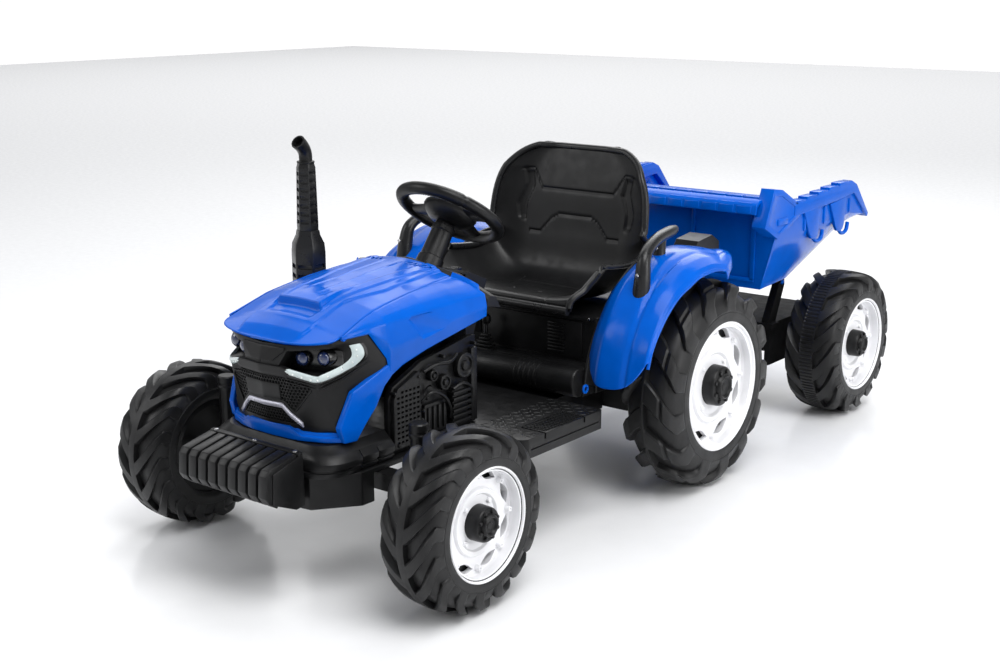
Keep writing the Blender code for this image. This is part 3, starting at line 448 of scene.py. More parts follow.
def tyre(place, side_name):
    """A chevron-lugged tyre: each side's lugs take one half of the pitch and the valley the other."""
    radius, rim, width, plane, _, axle_y, lugs, sweep, band = WHEELS[place]
    side = SIDES[side_name]
    steps = 24 if place == "trailer" else 14
    rows = finer(tyre_section(place))
    columns = lugs * 2 * steps
    edge = [0.0, 0.8, 1.0] + [1.0] * (steps - 4) + [0.8]
    spread = np.linspace(0, 1, steps + 1)[:-1]
    if place != "trailer":
        spread[1], spread[2], spread[-1] = 0.05, 0.12, 0.95
    verts = np.zeros((len(rows), columns, 3))
    height = radius - rim
    for r, (base_u, base_f, lug_u, lug_f) in enumerate(rows):
        outer_side = base_u >= 0
        reach = max(0.0, (abs(base_u) - band) / (1 - band))
        lean = math.radians(sweep) * min(1.0, reach / 0.86) * (0.55 + 0.45 * min(1.0, reach / 0.86))
        for h in range(lugs * 2):
            here = (h % 2 == 0) == outer_side
            for s in range(steps):
                angle = (h + spread[s]) * math.pi / lugs + lean
                share = edge[s] if here else 0.0
                if place == "rear" and 0.585 < abs(lug_u) < 0.645:
                    share *= 0.72
                if abs(base_u) <= band + 0.006:
                    share = 1.0
                u = base_u + (lug_u - base_u) * share
                f = base_f + (lug_f - base_f) * share
                if place == "trailer" and abs(base_u) < band:
                    f -= 0.03 * (s % 6 in (3, 4, 5))
                if 0.3 < f < 0.4 and s % 12 < 2 and place != "rear":
                    u *= 0.985
                rr = rim + height * f
                x = plane - width / 2 + u * width / 2
                verts[r, (h * steps + s)] = (
                    side * x, axle_y - rr * math.cos(angle), radius + rr * math.sin(angle))
    bm = bmesh.new()
    grid = [[bm.verts.new(p) for p in row] for row in verts]
    for low, high in zip(grid, grid[1:]):
        for i in range(columns):
            j = (i + 1) % columns
            bm.faces.new((low[i], low[j], high[j], high[i]))
    inner = []
    for row, x_in in ((grid[0], -0.004), (grid[-1], 0.004)):
        ring = []
        for vert in row:
            flat = Vector((0, vert.co.y - axle_y, vert.co.z - radius)).normalized() * (rim - 0.0055)
            ring.append(bm.verts.new((vert.co.x + side * x_in, axle_y + flat.y, radius + flat.z)))
        inner.append(ring)
    for low, high in ((grid[0], inner[0]), (inner[0], inner[1]), (inner[1], grid[-1])):
        for i in range(columns):
            j = (i + 1) % columns
            bm.faces.new((low[i], low[j], high[j], high[i]))
    bmesh.ops.recalc_face_normals(bm, faces=bm.faces)
    name = f"{place}_tyre_{side_name}"
    piece(f"{name}_tread", bm, "tyre_rubber", f"{place}_wheel_{side_name}", [name])


def on_axle(bm, place, side_name):
    """A shape made round +X with its outer face at 0, moved to a wheel."""
    radius, _, _, plane, _, axle_y, *_ = WHEELS[place]
    side = SIDES[side_name]
    return shift(sided(bm, side), (side * plane, axle_y, radius))


def ring_of(profile, count, first, reach, steps):
    """Round bosses or bolts spread evenly round a wheel, from a first angle in degrees."""
    turns = [math.radians(first + 360 / count * i) for i in range(count)]
    return [turned(profile, (0, reach * math.cos(a), reach * math.sin(a)), steps=steps) for a in turns]


def wheel_disc(place, side_name):
    """White rim: rolled lip, barrel, web with slots and bosses, and the black cup behind it."""
    _, rim, width, _, hub, *_ = WHEELS[place]
    body = f"{place}_wheel_{side_name}"
    k = rim / 0.086
    profile = [
        (-0.003, 0.0835 * k), (0.0002, 0.0845 * k), (0.0008, 0.086 * k), (-0.0005, 0.0872 * k),
        (-0.0035, 0.0878 * k), (-0.0045, 0.08 * k), (-0.048, 0.08 * k), (-0.048, 0.077 * k),
        (-0.033, 0.0765 * k), (-0.03, hub * 0.5), (-0.024, hub * 0.5), (-0.0235, 0.041 * k),
        (-0.0215, 0.0425 * k), (-0.0195, 0.044 * k), (-0.019, 0.05 * k), (-0.0205, 0.0515 * k),
        (-0.0235, 0.0525 * k), (-0.0245, 0.064 * k), (-0.024, 0.076 * k), (-0.0225, 0.0783 * k),
        (-0.018, 0.08 * k), (-0.01, 0.0812 * k), (-0.006, 0.0815 * k), (-0.0052, 0.0826 * k),
    ]
    disc = turned(profile, steps=96)
    slots = []
    for i in range(8):
        middle_angle = 22.5 + 45 * i
        outline = []
        for t in range(9):
            a = math.radians(middle_angle - 15.5 + 31 * t / 8)
            r = (0.0712 + 0.0062 * math.sin(math.pi * t / 8)) * k
            outline.append((r * math.cos(a), r * math.sin(a)))
        for t in range(7, 0, -1):
            a = math.radians(middle_angle - 15.5 + 31 * t / 8)
            r = (0.0712 - 0.0075 * math.sin(math.pi * t / 8)) * k
            outline.append((r * math.cos(a), r * math.sin(a)))
        slots.append(prism(outline, "x", -0.045, -0.01))
    boss = [(-0.026, 0), (-0.026, 0.005), (-0.017, 0.004), (-0.0162, 0.0034), (-0.0162, 0.0018),
            (-0.0185, 0.0014), (-0.0185, 0)]
    stud = [(-0.026, 0), (-0.026, 0.0046), (-0.0195, 0.004), (-0.0188, 0.0034), (-0.0188, 0)]
    extras = ring_of(boss, 8, 0, 0.0715 * k, 16) + ring_of(stud, 4, 45, 0.0375 * k, 16)
    whole = on_axle(merged(plain_disc(disc, slots), *extras), place, side_name)
    piece(f"{place}_rim_{side_name}_face", whole, "rim_white", body, [f"{place}_rim_{side_name}"])
    backing = turned([(-0.0355, 0.0), (-0.0355, 0.0768 * k), (-0.048, 0.0772 * k), (-0.048, 0.0815 * k),
                      (0.01 - width, 0.083 * k), (0.008 - width, 0.07 * k), (-0.056, 0.066 * k),
                      (-0.056, 0.0)], steps=72)
    piece(f"{place}_backing_{side_name}", on_axle(backing, place, side_name), "satin_black", body)


def plain_disc(bm, cutters):
    """The turned disc with holes cut through its web, as a bmesh again."""
    obj = plain_object("disc", bm, "rim_white")
    helper = cutter_on(obj, cutters)
    bpy.context.view_layer.update()
    mesh = bpy.data.meshes.new_from_object(obj.evaluated_get(bpy.context.evaluated_depsgraph_get()))
    made = bmesh.new()
    made.from_mesh(mesh)
    bpy.data.meshes.remove(mesh)
    for old in (obj, helper):
        bpy.data.objects.remove(old)
    return made


def hub_cap(place, side_name):
    """Black hub: flanged cup with a ring of bolt heads round a dished drum."""
    k = WHEELS[place][4] / 0.027
    cup = turned([
        (-0.027, 0.0), (-0.027, 0.0275 * k), (-0.01, 0.027 * k), (-0.004, 0.0265 * k),
        (-0.002, 0.0255 * k), (-0.0012, 0.0245 * k), (-0.0012, 0.0178 * k), (0.003, 0.017 * k),
        (0.005, 0.016 * k), (0.0058, 0.0145 * k), (0.005, 0.0128 * k), (0.0018, 0.011 * k),
        (0.001, 0.006 * k), (0.0018, 0.005 * k), (0.0018, 0.0),
    ], steps=64)
    bolt = [(-0.004, 0), (-0.004, 0.0031 * k), (0.0012, 0.003 * k), (0.002, 0.0024 * k), (0.0022, 0)]
    whole = on_axle(merged(cup, *ring_of(bolt, 8, 22.5, 0.021 * k, 12)), place, side_name)
    name = f"{place}_hub_cap_{side_name}"
    piece(f"{name}_face", whole, "satin_black", f"{place}_wheel_{side_name}", [name])


def wheels():
    for place in WHEELS:
        for side_name in SIDES:
            tyre(place, side_name)
            wheel_disc(place, side_name)
            hub_cap(place, side_name)


# ---------------------------------------------------------------- bonnet and nose

# Side cowl: y, then (x, z) of the seam, the shoulder, the middle and the bottom edge
COWL = [
    (-0.755, (0.1195, 0.3965), (0.1215, 0.395), (0.1215, 0.394), (0.1205, 0.3925)),
    (-0.708, (0.1155, 0.413), (0.13, 0.4), (0.1325, 0.397), (0.131, 0.3945)),
    (-0.677, (0.1141, 0.422), (0.1365, 0.4055), (0.141, 0.378), (0.1375, 0.352)),
    (-0.671, (0.114, 0.423), (0.137, 0.406), (0.1425, 0.366), (0.1385, 0.322)),
    (-0.645, (0.1128, 0.4275), (0.139, 0.408), (0.1455, 0.37), (0.141, 0.336)),
    (-0.59, (0.1108, 0.435), (0.142, 0.411), (0.149, 0.38), (0.1445, 0.351)),
    (-0.52, (0.1075, 0.441), (0.145, 0.413), (0.1508, 0.388), (0.148, 0.365)),
    (-0.45, (0.1045, 0.443), (0.147, 0.413), (0.151, 0.394), (0.15, 0.378)),
]
COWL_REAR = -0.4865
NOSE_Y, NOSE_Z = -0.801, 0.387


def seam(y):
    """(x, z) of the joint between the bonnet top and the side cowl; the nose rounds off in front."""
    first = COWL[0]
    if y <= first[0]:
        share = max(0.0, (y - NOSE_Y) / (first[0] - NOSE_Y))
        half = first[1][0] * (1 - (1 - share) ** 2.5) ** (1 / 2.5)
        return half, NOSE_Z + (first[1][1] - NOSE_Z) * share
    places = [station[0] for station in COWL[:-1]] + [COWL_REAR]
    return tuple(float(np.interp(y, places, [station[1][k] for station in COWL])) for k in (0, 1))


def ridge_half(y):
    """Half width of the raised middle panel of the bonnet."""
    return table(y, [(-0.8, 0.05), (-0.735, 0.05), (-0.7, 0.052), (-0.6, 0.066), (-0.48, 0.074)])


def bonnet_height(x, y):
    """How far the top skin stands above its plain dome at a point."""
    away_x = abs(x)
    half = ridge_half(y)
    rear = clamped((y + 0.722) / 0.02)
    panel = 0.0026 * clamped((half - away_x) / 0.0035 + 0.5) * rear
    step = -0.0016 * clamped((half - 0.02 - away_x) / 0.003 + 0.5) * rear
    outer_x = table(y, [(-0.79, 0.061), (-0.77, 0.065), (-0.728, 0.064), (-0.69, 0.062), (-0.617, 0.083),
                        (-0.48, 0.082)])
    outer = 0.003 * clamped((outer_x - away_x) / 0.0035 + 0.5) * clamped((y + 0.797) / 0.02)
    middle_line = 0.001 * bump_at(away_x, 0.017, 0.0006, 0.002) * bump_at(y, -0.6, 0.085, 0.01)
    brow = 0.0
    if away_x < 0.0475:
        into = clamped((y + 0.7235) / 0.003)
        brow = 0.0095 * into * max(0.0, 1 - max(0.0, (y + 0.7205) / 0.095)) ** 1.3
        brow -= 0.0032 * (1 - into) * bump_at(y, -0.7235, 0.012, 0.016)
        brow *= min(1.0, (0.0475 - away_x) / 0.004)
    return panel + step + outer + middle_line + brow


def bonnet_top():
    """Top panel with its raised middle, the air scoop, rear vent slots and a small oval boss."""
    rows = []
    stations = list(np.linspace(0, 1, 26) ** 1.8 * 0.0585 - 0.8005)
    stations += list(np.linspace(-0.74, -0.7275, 8)) + list(np.linspace(-0.726, -0.718, 9))
    stations += list(np.linspace(-0.715, -0.4862, 74))
    shares = sorted(set(list(np.linspace(-1, 1, 121)) + [-0.985, 0.985, -0.995, 0.995]))
    for y in stations:
        half, edge = seam(y)
        half -= 0.0017
        dome = 0.014 * min(1, (y - NOSE_Y) / 0.05)
        row = []
        for u in shares:
            x = half * u
            drop = 0.0016 * max(0.0, (abs(u) - 0.975) / 0.025) ** 2
            row.append((x, y, edge + dome * (1 - u * u) + bonnet_height(x, y) - drop))
        rows.append(row)
    slots = []
    for sign in (-1, 1):
        for k in range(5):
            x, y = sign * (0.03 + 0.0095 * k), -0.505 + 0.0006 * k
            slot = block((x - 0.0028, x + 0.0028), (y - 0.006, y + 0.008), (0.43, 0.48))
            slots.append(turn(slot, -sign * 22, "Z", (x, y, 0)))
    skin = sheet(rows)
    piece("bonnet_top_panel", skin, "gloss_blue", replaces=["bonnet_top"], cut=slots, wall=0.0042,
          bevel=0.0006)
    oval = turned_along([(0, 0), (0, 0.0105), (0.001, 0.0098), (0.0014, 0.008), (0.0014, 0)],
                        (0, -0.52, 0.454), (0, -0.05, 1), 32)
    for vert in oval.verts:
        vert.co.x *= 0.55
    piece("bonnet_boss", oval, "gloss_blue")
    fins = []
    for sign in (-1, 1):
        triangles = [
            [(0.05, -0.742, 0.4125), (0.0535, -0.742, 0.412), (0.0535, -0.738, 0.412)],
            [(0.045, -0.722, 0.4205), (0.056, -0.722, 0.4185), (0.049, -0.718, 0.429)],
            [(0.047, -0.69, 0.4295), (0.057, -0.69, 0.4275), (0.0505, -0.688, 0.4355)],
            [(0.05, -0.655, 0.4375), (0.057, -0.655, 0.4365), (0.0535, -0.653, 0.4385)],
        ]
        fins.append(lofted([[(sign * x, y, z) for x, y, z in ring] for ring in triangles]))
    piece("bonnet_scoop_fins", merged(*fins), "gloss_blue", bevel=0.0008)


def cowl_skin(sign):
    """One side panel: dense skin through the stations with the crease line and the shoulder fin."""
    rows = []
    stations = [s[0] for s in COWL[:-1]] + list(np.linspace(-0.755, -0.452, 92)) + [-0.676, -0.668]
    for y in sorted(set(stations)):
        line = []
        for k in range(4):
            x = float(np.interp(y, [s[0] for s in COWL], [s[k + 1][0] for s in COWL]))
            z = float(np.interp(y, [s[0] for s in COWL], [s[k + 1][1] for s in COWL]))
            line.append((x, z))
        seam_x, seam_z = seam(min(y, COWL_REAR))
        line[0] = (seam_x, seam_z)
        row = []
        for t in np.linspace(0, 1, 12):
            x = line[0][0] + (line[1][0] - line[0][0]) * t
            z = line[0][1] + (line[1][1] - line[0][1]) * t
            z += 0.0022 * math.sin(math.pi * t)
            x += 0.0012 * math.sin(math.pi * t)
            row.append((sign * x, min(y, COWL_REAR + 0.0365 * t) if y > COWL_REAR else y, z))
        for t in np.linspace(0, 1, 16)[1:]:
            if t <= 0.5:
                share = t / 0.5
                x = line[1][0] + (line[2][0] - line[1][0]) * share
                z = line[1][1] + (line[2][1] - line[1][1]) * share
            else:
                share = (t - 0.5) / 0.5
                x = line[2][0] + (line[3][0] - line[2][0]) * share
                z = line[2][1] + (line[3][1] - line[2][1]) * share
            row.append((sign * x, y, z))
        rows.append(row)
    skin = sheet(rows)
    if sign < 0:
        bmesh.ops.reverse_faces(skin, faces=skin.faces)
    return skin


def side_cowls():
    """Blue side panels with the intake recess, the strut band round the mask and the chin."""
    for side_name, sign in SIDES.items():
        floor = [(0.1365, -0.6235, 0.403), (0.1365, -0.621, 0.405), (0.154, -0.512, 0.408),
                 (0.154, -0.518, 0.38), (0.1425, -0.598, 0.3745)]
        rim = [(0.156, y, z) for y, z in ((-0.66, 0.402), (-0.63, 0.412), (-0.512, 0.414),
                                           (-0.518, 0.364), (-0.615, 0.356))]
        recess = sided(lofted([floor, rim]), sign)
        name = f"side_cowl_{side_name}"
        piece(name, cowl_skin(sign), "gloss_blue", cut=[recess], wall=0.0075, bevel=0.0007)
        rows = []
        outer = [(0.1395, -0.662, 0.327), (0.1395, -0.674, 0.342), (0.13, -0.742, 0.312),
                 (0.122, -0.764, 0.259), (0.124, -0.757, 0.2346), (0.129, -0.7345, 0.2346),
                 (0.135, -0.72, 0.261), (0.137, -0.7, 0.281), (0.139, -0.683, 0.31)]
        for depth in (0.0, 0.011):
            rows.append([(sign * (x - depth), y, z) for x, y, z in outer])
        piece(f"strut_{side_name}", lofted(rows), "gloss_blue", bevel=0.0022, segments=3)
    chin = [(0, -0.793), (0.042, -0.791), (0.064, -0.787), (0.098, -0.774), (0.126, -0.751)]
    inner = [(0, -0.776), (0.038, -0.774), (0.057, -0.77), (0.088, -0.758), (0.112, -0.739)]
    rings = []
    profile = [(0.235, 0.0), (0.256, 0.0), (0.256, 0.003), (0.2618, 0.0036), (0.2618, 0.014), (0.235, 0.014)]
    across = [(-x, y) for x, y in reversed(chin[1:])] + chin
    inside = [(-x, y) for x, y in reversed(inner[1:])] + inner
    for (x, y), (inner_x, inner_y) in zip(across, inside):
        ring = []
        reach = math.hypot(inner_x - x, inner_y - y)
        step = table(abs(x), [(0.042, -0.001), (0.064, -0.0125)])
        for z, depth in profile:
            share = depth / reach
            ring.append((x + (inner_x - x) * share, y + (inner_y - y) * share, z + step * (z > 0.25)))
        rings.append(ring)
    piece("chin", lofted(rings), "gloss_blue", replaces=["bonnet_shell"], bevel=0.0016, segments=3)


FACE = [
    [(0, -0.789, 0.246), (0.05, -0.784, 0.246), (0.085, -0.773, 0.246), (0.108, -0.756, 0.246)],
    [(0, -0.795, 0.2632), (0.05, -0.79, 0.2632), (0.085, -0.778, 0.2632), (0.111, -0.758, 0.2632)],
    [(0, -0.801, 0.307), (0.052, -0.796, 0.307), (0.09, -0.779, 0.307), (0.1225, -0.738, 0.307)],
    [(0, -0.806, 0.35), (0.055, -0.8, 0.35), (0.098, -0.779, 0.35), (0.137, -0.672, 0.345)],
    [(0, -0.799, 0.38), (0.06, -0.7925, 0.3825), (0.112, -0.764, 0.391), (0.1295, -0.71, 0.3945)],
]


def face_point(x, z, out=0.0):
    """A point on the front of the mask above a given x and z, moved outwards."""
    found = []
    for ring in FACE:
        xs, ys, zs = ([p[k] for p in ring] for k in range(3))
        found.append((np.interp(abs(x), xs, ys), np.interp(abs(x), xs, zs)))
    y = np.interp(z, [f[1] for f in found], [f[0] for f in found])
    return Vector((x, float(y) - out, z))


def face_slab(top, bottom, out, depth, strips=28):
    """A solid whose front follows the mask, between two lines given as (x, z) from one end to the other."""
    first, last = top[0][0], top[-1][0]
    rings = []
    for t in range(strips + 1):
        x = first + (last - first) * t / strips
        high, low = table(x, top), table(x, bottom)
        levels = [high + (low - high) * step / 5 for step in range(6)]
        ring = [face_point(x, z, out) for z in levels]
        ring += [face_point(x, z, out) + Vector((0, depth, 0)) for z in reversed(levels)]
        rings.append(ring)
    return lofted(rings)


def both(points):
    """A line given for +X only, closed with its mirror image, from -X to +X."""
    return [(-x, z) for x, z in reversed(points) if x > 0] + points


def mask():
    """Black nose with lamp pockets, grille openings, brow step, nose bar and seams."""
    rings = []
    for ring in FACE:
        last = ring is FACE[-1]
        depth = [(max(0, x - 0.014), y + (0.002 if last else 0.038), z) for x, y, z in ring]
        front = [(-x, y, z) for x, y, z in reversed(ring[1:])] + ring
        back = [(-x, y, z) for x, y, z in reversed(depth[1:])] + depth
        rings.append(front + list(reversed(back)))
    upper = both([(0.044, 0.3335), (0.06, 0.331), (0.083, 0.322)])
    pockets = [
        face_slab(upper, both([(0.038, 0.296), (0.056, 0.279), (0.083, 0.319)]), 0.02, 0.024, 66),
        face_slab(both([(0.036, 0.282), (0.06, 0.263)]), both([(0.036, 0.261), (0.06, 0.261)]),
                  0.02, 0.024, 48),
        face_slab([(-0.0006, 0.379), (0.0006, 0.379)], [(-0.0006, 0.34), (0.0006, 0.34)], 0.02, 0.0215, 1),
    ]
    for sign in SIDES.values():
        deep = [(0.03, 0.34), (0.048, 0.3735), (0.112, 0.381), (0.1185, 0.356), (0.104, 0.34)]
        hollow = [[(x, y, z) for x, z in deep] for y in (-0.83, -0.771)]
        hollow[1] = [(x, -0.7715 + max(0.0, x - 0.06) * 0.55, z) for x, z in deep]
        pockets.append(sided(lofted(hollow), sign))
    piece("mask", lofted(rings), "satin_black", replaces=["face_mask"], cut=pockets, bevel=0.0008)
    bars = [
        face_slab(both([(0.046, 0.35), (0.056, 0.345)]), both([(0.046, 0.337), (0.056, 0.34)]), 0.0034,
                  0.009),
        face_slab(both([(0.024, 0.3775), (0.044, 0.3775)]), both([(0.022, 0.3555), (0.044, 0.373)]), 0.0022,
                  0.008),
    ]
    for sign in SIDES.values():
        for rise in (0.0, 0.005):
            top = [(0.048, 0.3335 - rise), (0.075, 0.328 - rise), (0.095, 0.324 - rise),
                   (0.112, 0.336 - rise),
                   (0.127, 0.359 - rise)]
            low = [(x, z - 0.0016) for x, z in top]
            bars.append(sided(face_slab(top, low, 0.0012, 0.004, 40), sign))
        top = [(0.0565, 0.281), (0.084, 0.317)]
        low = [(0.0565, 0.2785), (0.084, 0.3145)]
        bars.append(sided(face_slab(top, low, 0.0014, 0.004), sign))
    piece("mask_bars", merged(*bars), "satin_black", bevel=0.001)
    for side_name, sign in SIDES.items():
        outline = [(0.085, -0.745), (0.118, -0.712), (0.126, -0.68), (0.085, -0.68)]
        filler = prism([(sign * x, y) for x, y in outline], "z", 0.36, 0.402)
        piece(f"nose_filler_{side_name}", filler, "satin_black", bevel=0.001)
    plate = face_slab([(-0.04, 0.3215), (0.033, 0.3215)], [(-0.038, 0.296), (0.031, 0.296)], 0.001, 0.006)
    piece("grille_plate", plate, "satin_black", bevel=0.0009)
    honeycomb()


def inside(point, outline):
    """Whether a point lies inside an outline."""
    x, z = point
    found = False
    for (x1, z1), (x2, z2) in zip(outline, outline[1:] + outline[:1]):
        if (z1 > z) != (z2 > z) and x < (x2 - x1) * (z - z1) / (z2 - z1) + x1:
            found = not found
    return found


def hexagons(outline, pitch, place, bar):
    """Open hexagonal cells over an outline: each is a ring of bars with walls running inwards."""
    bm = bmesh.new()
    xs, zs = [p[0] for p in outline], [p[1] for p in outline]
    row_step = pitch * math.sqrt(3) / 2
    for row in range(int((max(zs) - min(zs)) / row_step) + 2):
        z = min(zs) + row * row_step
        for column in range(int((max(xs) - min(xs)) / pitch) + 2):
            x = min(xs) + (column + 0.5 * (row % 2)) * pitch
            if not inside((x, z), outline):
                continue
            loops = []
            for size, depth in ((1.0, 0.0), (1 - bar, 0.0), (1 - bar, 0.0022)):
                ring = []
                for k in range(6):
                    a = math.radians(30 + 60 * k)
                    reach = size * pitch / math.sqrt(3)
                    ring.append(bm.verts.new(place(x + reach * math.cos(a), z + reach * math.sin(a), depth)))
                loops.append(ring)
            for low, high in zip(loops, loops[1:]):
                for k in range(6):
                    j = (k + 1) % 6
                    bm.faces.new((low[k], low[j], high[j], high[k]))
    return bm


def honeycomb():
    """The open mesh of the two grilles."""
    place = lambda x, z, depth: face_point(x, z, -0.0004 - depth)
    upper = [(-0.044, 0.3325), (0.044, 0.3325), (0.06, 0.33), (0.082, 0.321), (0.07, 0.3),
             (0.056, 0.28), (0.037, 0.2965), (-0.037, 0.2965), (-0.056, 0.28), (-0.07, 0.3),
             (-0.082, 0.321), (-0.06, 0.33)]
    lower = [(-0.035, 0.2815), (0.035, 0.2815), (0.058, 0.2625), (-0.058, 0.2625)]
    cells = merged(hexagons(upper, 0.0056, place, 0.22), hexagons(lower, 0.0056, place, 0.22))
    piece("grille_mesh", cells, "satin_black")


def lamps():
    """Dark bullet lenses in bezels on a dark reflector bar, light bands and their bright dots."""
    for side_name, sign in SIDES.items():
        plan = [(0.033, -0.7745), (0.06, -0.774), (0.112, -0.745), (0.112, -0.74), (0.033, -0.77)]
        plan = [(sign * x, y) for x, y in plan]
        bar = prism(plan, "z", 0.342, 0.374)
        piece(f"lamp_recess_{side_name}", bar, "gloss_black", bevel=0.0005)
        lens, bezel = [], []
        for x, z, base, front in ((0.0605, 0.3605, -0.768, -0.785), (0.0935, 0.3635, -0.752, -0.7735)):
            start = Vector((sign * x, base, z))
            run = Vector((sign * 0.1, -1, 0.02)).normalized()
            length = base - front
            dome = [(0, 0), (0, 0.0106)]
            dome += [(length - 0.0062 + 0.006 * math.sin(a), 0.0104 * math.cos(a))
                     for a in (math.radians(9 * t) for t in range(10))]
            dome.append((length, 0))
            lens.append(turned_along(dome, start, run, 40))
            ring = [(0, 0.0107), (length - 0.0075, 0.011), (length - 0.0065, 0.012), (length - 0.008, 0.0128),
                    (0, 0.013)]
            bezel.append(turned_along(ring, start, run, 40))
        piece(f"lenses_{side_name}", merged(*lens), "dark_lens", replaces=[f"headlamp_{side_name}"])
        piece(f"lens_bezels_{side_name}", merged(*bezel), "gloss_black")
        light_band(side_name, sign)


# Light band along the mask: x, z and width
LED_PATH = [
    (0.05, 0.345, 0.0095), (0.062, 0.3415, 0.01), (0.076, 0.3375, 0.0105), (0.09, 0.334, 0.0105),
    (0.098, 0.3355, 0.01), (0.108, 0.343, 0.009), (0.1165, 0.3525, 0.008), (0.1215, 0.363, 0.0075),
    (0.1225, 0.374, 0.007), (0.122, 0.382, 0.0065),
]


def light_band(side_name, sign):
    """Milky hockey-stick light in a dark channel, with a row of bright dots under its face."""
    path = spline(LED_PATH, 73)
    rings, edges = [], []
    for k, (x, z, width) in enumerate(path):
        (x1, z1, _), (x2, z2, _) = path[max(k - 1, 0)], path[min(k + 1, 72)]
        run = math.hypot(x2 - x1, z2 - z1)
        across = (-(z2 - z1) / run, (x2 - x1) / run)
        if k < 4:
            width *= math.sqrt(1 - ((4 - k) / 4.6) ** 2)
        ring, edge = [], []
        for share, out in ((-0.5, 0.0), (-0.36, 0.003), (0, 0.0036), (0.36, 0.003), (0.5, 0.0), (0, -0.004)):
            ring.append(face_point(x + across[0] * width * share, z + across[1] * width * share, out))
        for share, out in ((-0.66, -0.002), (-0.66, 0.0016), (-0.5, 0.0016), (-0.5, -0.002)):
            edge.append(face_point(x + across[0] * width * share, z + across[1] * width * share, out))
        rings.append(ring)
        edges.append(edge)
    band = sided(lofted(rings), sign)
    piece(f"light_band_{side_name}", band, "milky_led", replaces=[f"led_strip_{side_name}"], bevel=0.0005)
    piece(f"light_edge_{side_name}", sided(lofted(edges), sign), "gloss_black")
    dots = []
    for k in range(9):
        x, z, _ = path[8 + 7 * k]
        dots.append(turned_along([(-0.001, 0), (-0.001, 0.0016), (0.0006, 0.0014), (0.0009, 0)],
                                 face_point(x, z - 0.001, 0.0036), (0.35, -1, 0), 12))
    piece(f"light_dots_{side_name}", sided(merged(*dots), sign), "white_led")


def moustache():
    """Silver trim across the grille."""
    line = [(0, 0.2915), (0.035, 0.2915), (0.066, 0.264)]
    across = [(-x, z) for x, z in reversed(line[1:])] + line
    fine = []
    for (x1, z1), (x2, z2) in zip(across, across[1:]):
        fine += [(x1 + (x2 - x1) * t / 8, z1 + (z2 - z1) * t / 8) for t in range(8)]
    fine.append(across[-1])
    rings = []
    for x, z in fine:
        rings.append([face_point(x, z, 0.003), face_point(x, z - 0.002, 0.0044),
                      face_point(x, z - 0.0078, 0.003),
                      face_point(x, z - 0.0078, -0.002), face_point(x, z, -0.002)])
    piece("moustache", lofted(rings), "silver_paint", replaces=["grille_strip"], bevel=0.0006)


# ---------------------------------------------------------------- seat, mudguards and handles

SEAT_LINE = [(-0.243, 0.349), (-0.239, 0.362), (-0.215, 0.362), (-0.13, 0.348), (-0.06, 0.345),
             (-0.018, 0.366), (-0.001, 0.43), (0.012, 0.51), (0.026, 0.575), (0.032, 0.598)]


def seat_from(place, u):
    """Upper surface of the bucket seat: place is (y, z) on its middle line, u runs from -1 to 1 across."""
    climb = max(0, min(0.985, (place.y - 0.43) / 0.172))
    half = 0.179 * (1 - climb**3.3) ** (1 / 3.3)
    half -= 0.012 * max(0, (-0.215 - place.x) / 0.028)
    lift = 0.062 * min(1, (place.x + 0.243) / 0.085) * clamped((0.46 - place.y) / 0.08)
    wrap = 0.03 * clamped((place.y - 0.36) / 0.06) * min(1, (0.612 - place.y) / 0.06)
    rise = max(0, (abs(u) - 0.55) / 0.45) ** 2
    return Vector((half * u, place.x - rise * wrap, place.y + rise * lift))


def seat_mark(x, z, y):
    """Depth of the moulded lines and slots of the seat at a point, towards its back."""
    depth = 0.0
    away_x = abs(x)
    if z > 0.385:
        groove = table(away_x, [(0.068, 0.513), (0.082, 0.513), (0.105, 0.55), (0.128, 0.547)])
        if away_x < 0.13:
            depth += 0.0024 * bump_at(z, groove, 0.0008, 0.0022)
        low = table(away_x, [(0.038, 0.466), (0.054, 0.457), (0.078, 0.43), (0.104, 0.43)])
        if away_x < 0.104:
            depth += 0.0024 * bump_at(z, low, 0.0008, 0.0022)
        outer = table(z, [(0.44, 0.12), (0.455, 0.131), (0.48, 0.136), (0.52, 0.121), (0.545, 0.126)])
        inner = table(z, [(0.44, 0.112), (0.48, 0.114), (0.515, 0.1), (0.56, 0.108)])
        across = bump_at(away_x, (inner + outer) / 2, (outer - inner) / 2 - 0.004, 0.005)
        depth += 0.005 * across * bump_at(z, 0.498, 0.04, 0.012)
    else:
        for k, place in enumerate((-0.095, -0.065)):
            depth += 0.0014 * bump_at(y, place, 0.001, 0.0012) * bump_at(away_x, 0.0, 0.075, 0.004)
        depth += 0.0014 * bump_at(away_x, 0.078 + 0.25 * max(0.0, -0.1 - y), 0.001, 0.0012) * (y < -0.045)
        depth += 0.003 * bump_at(away_x, 0.03, 0.0035, 0.0015) * bump_at(y, -0.15, 0.006, 0.0015)
    return depth


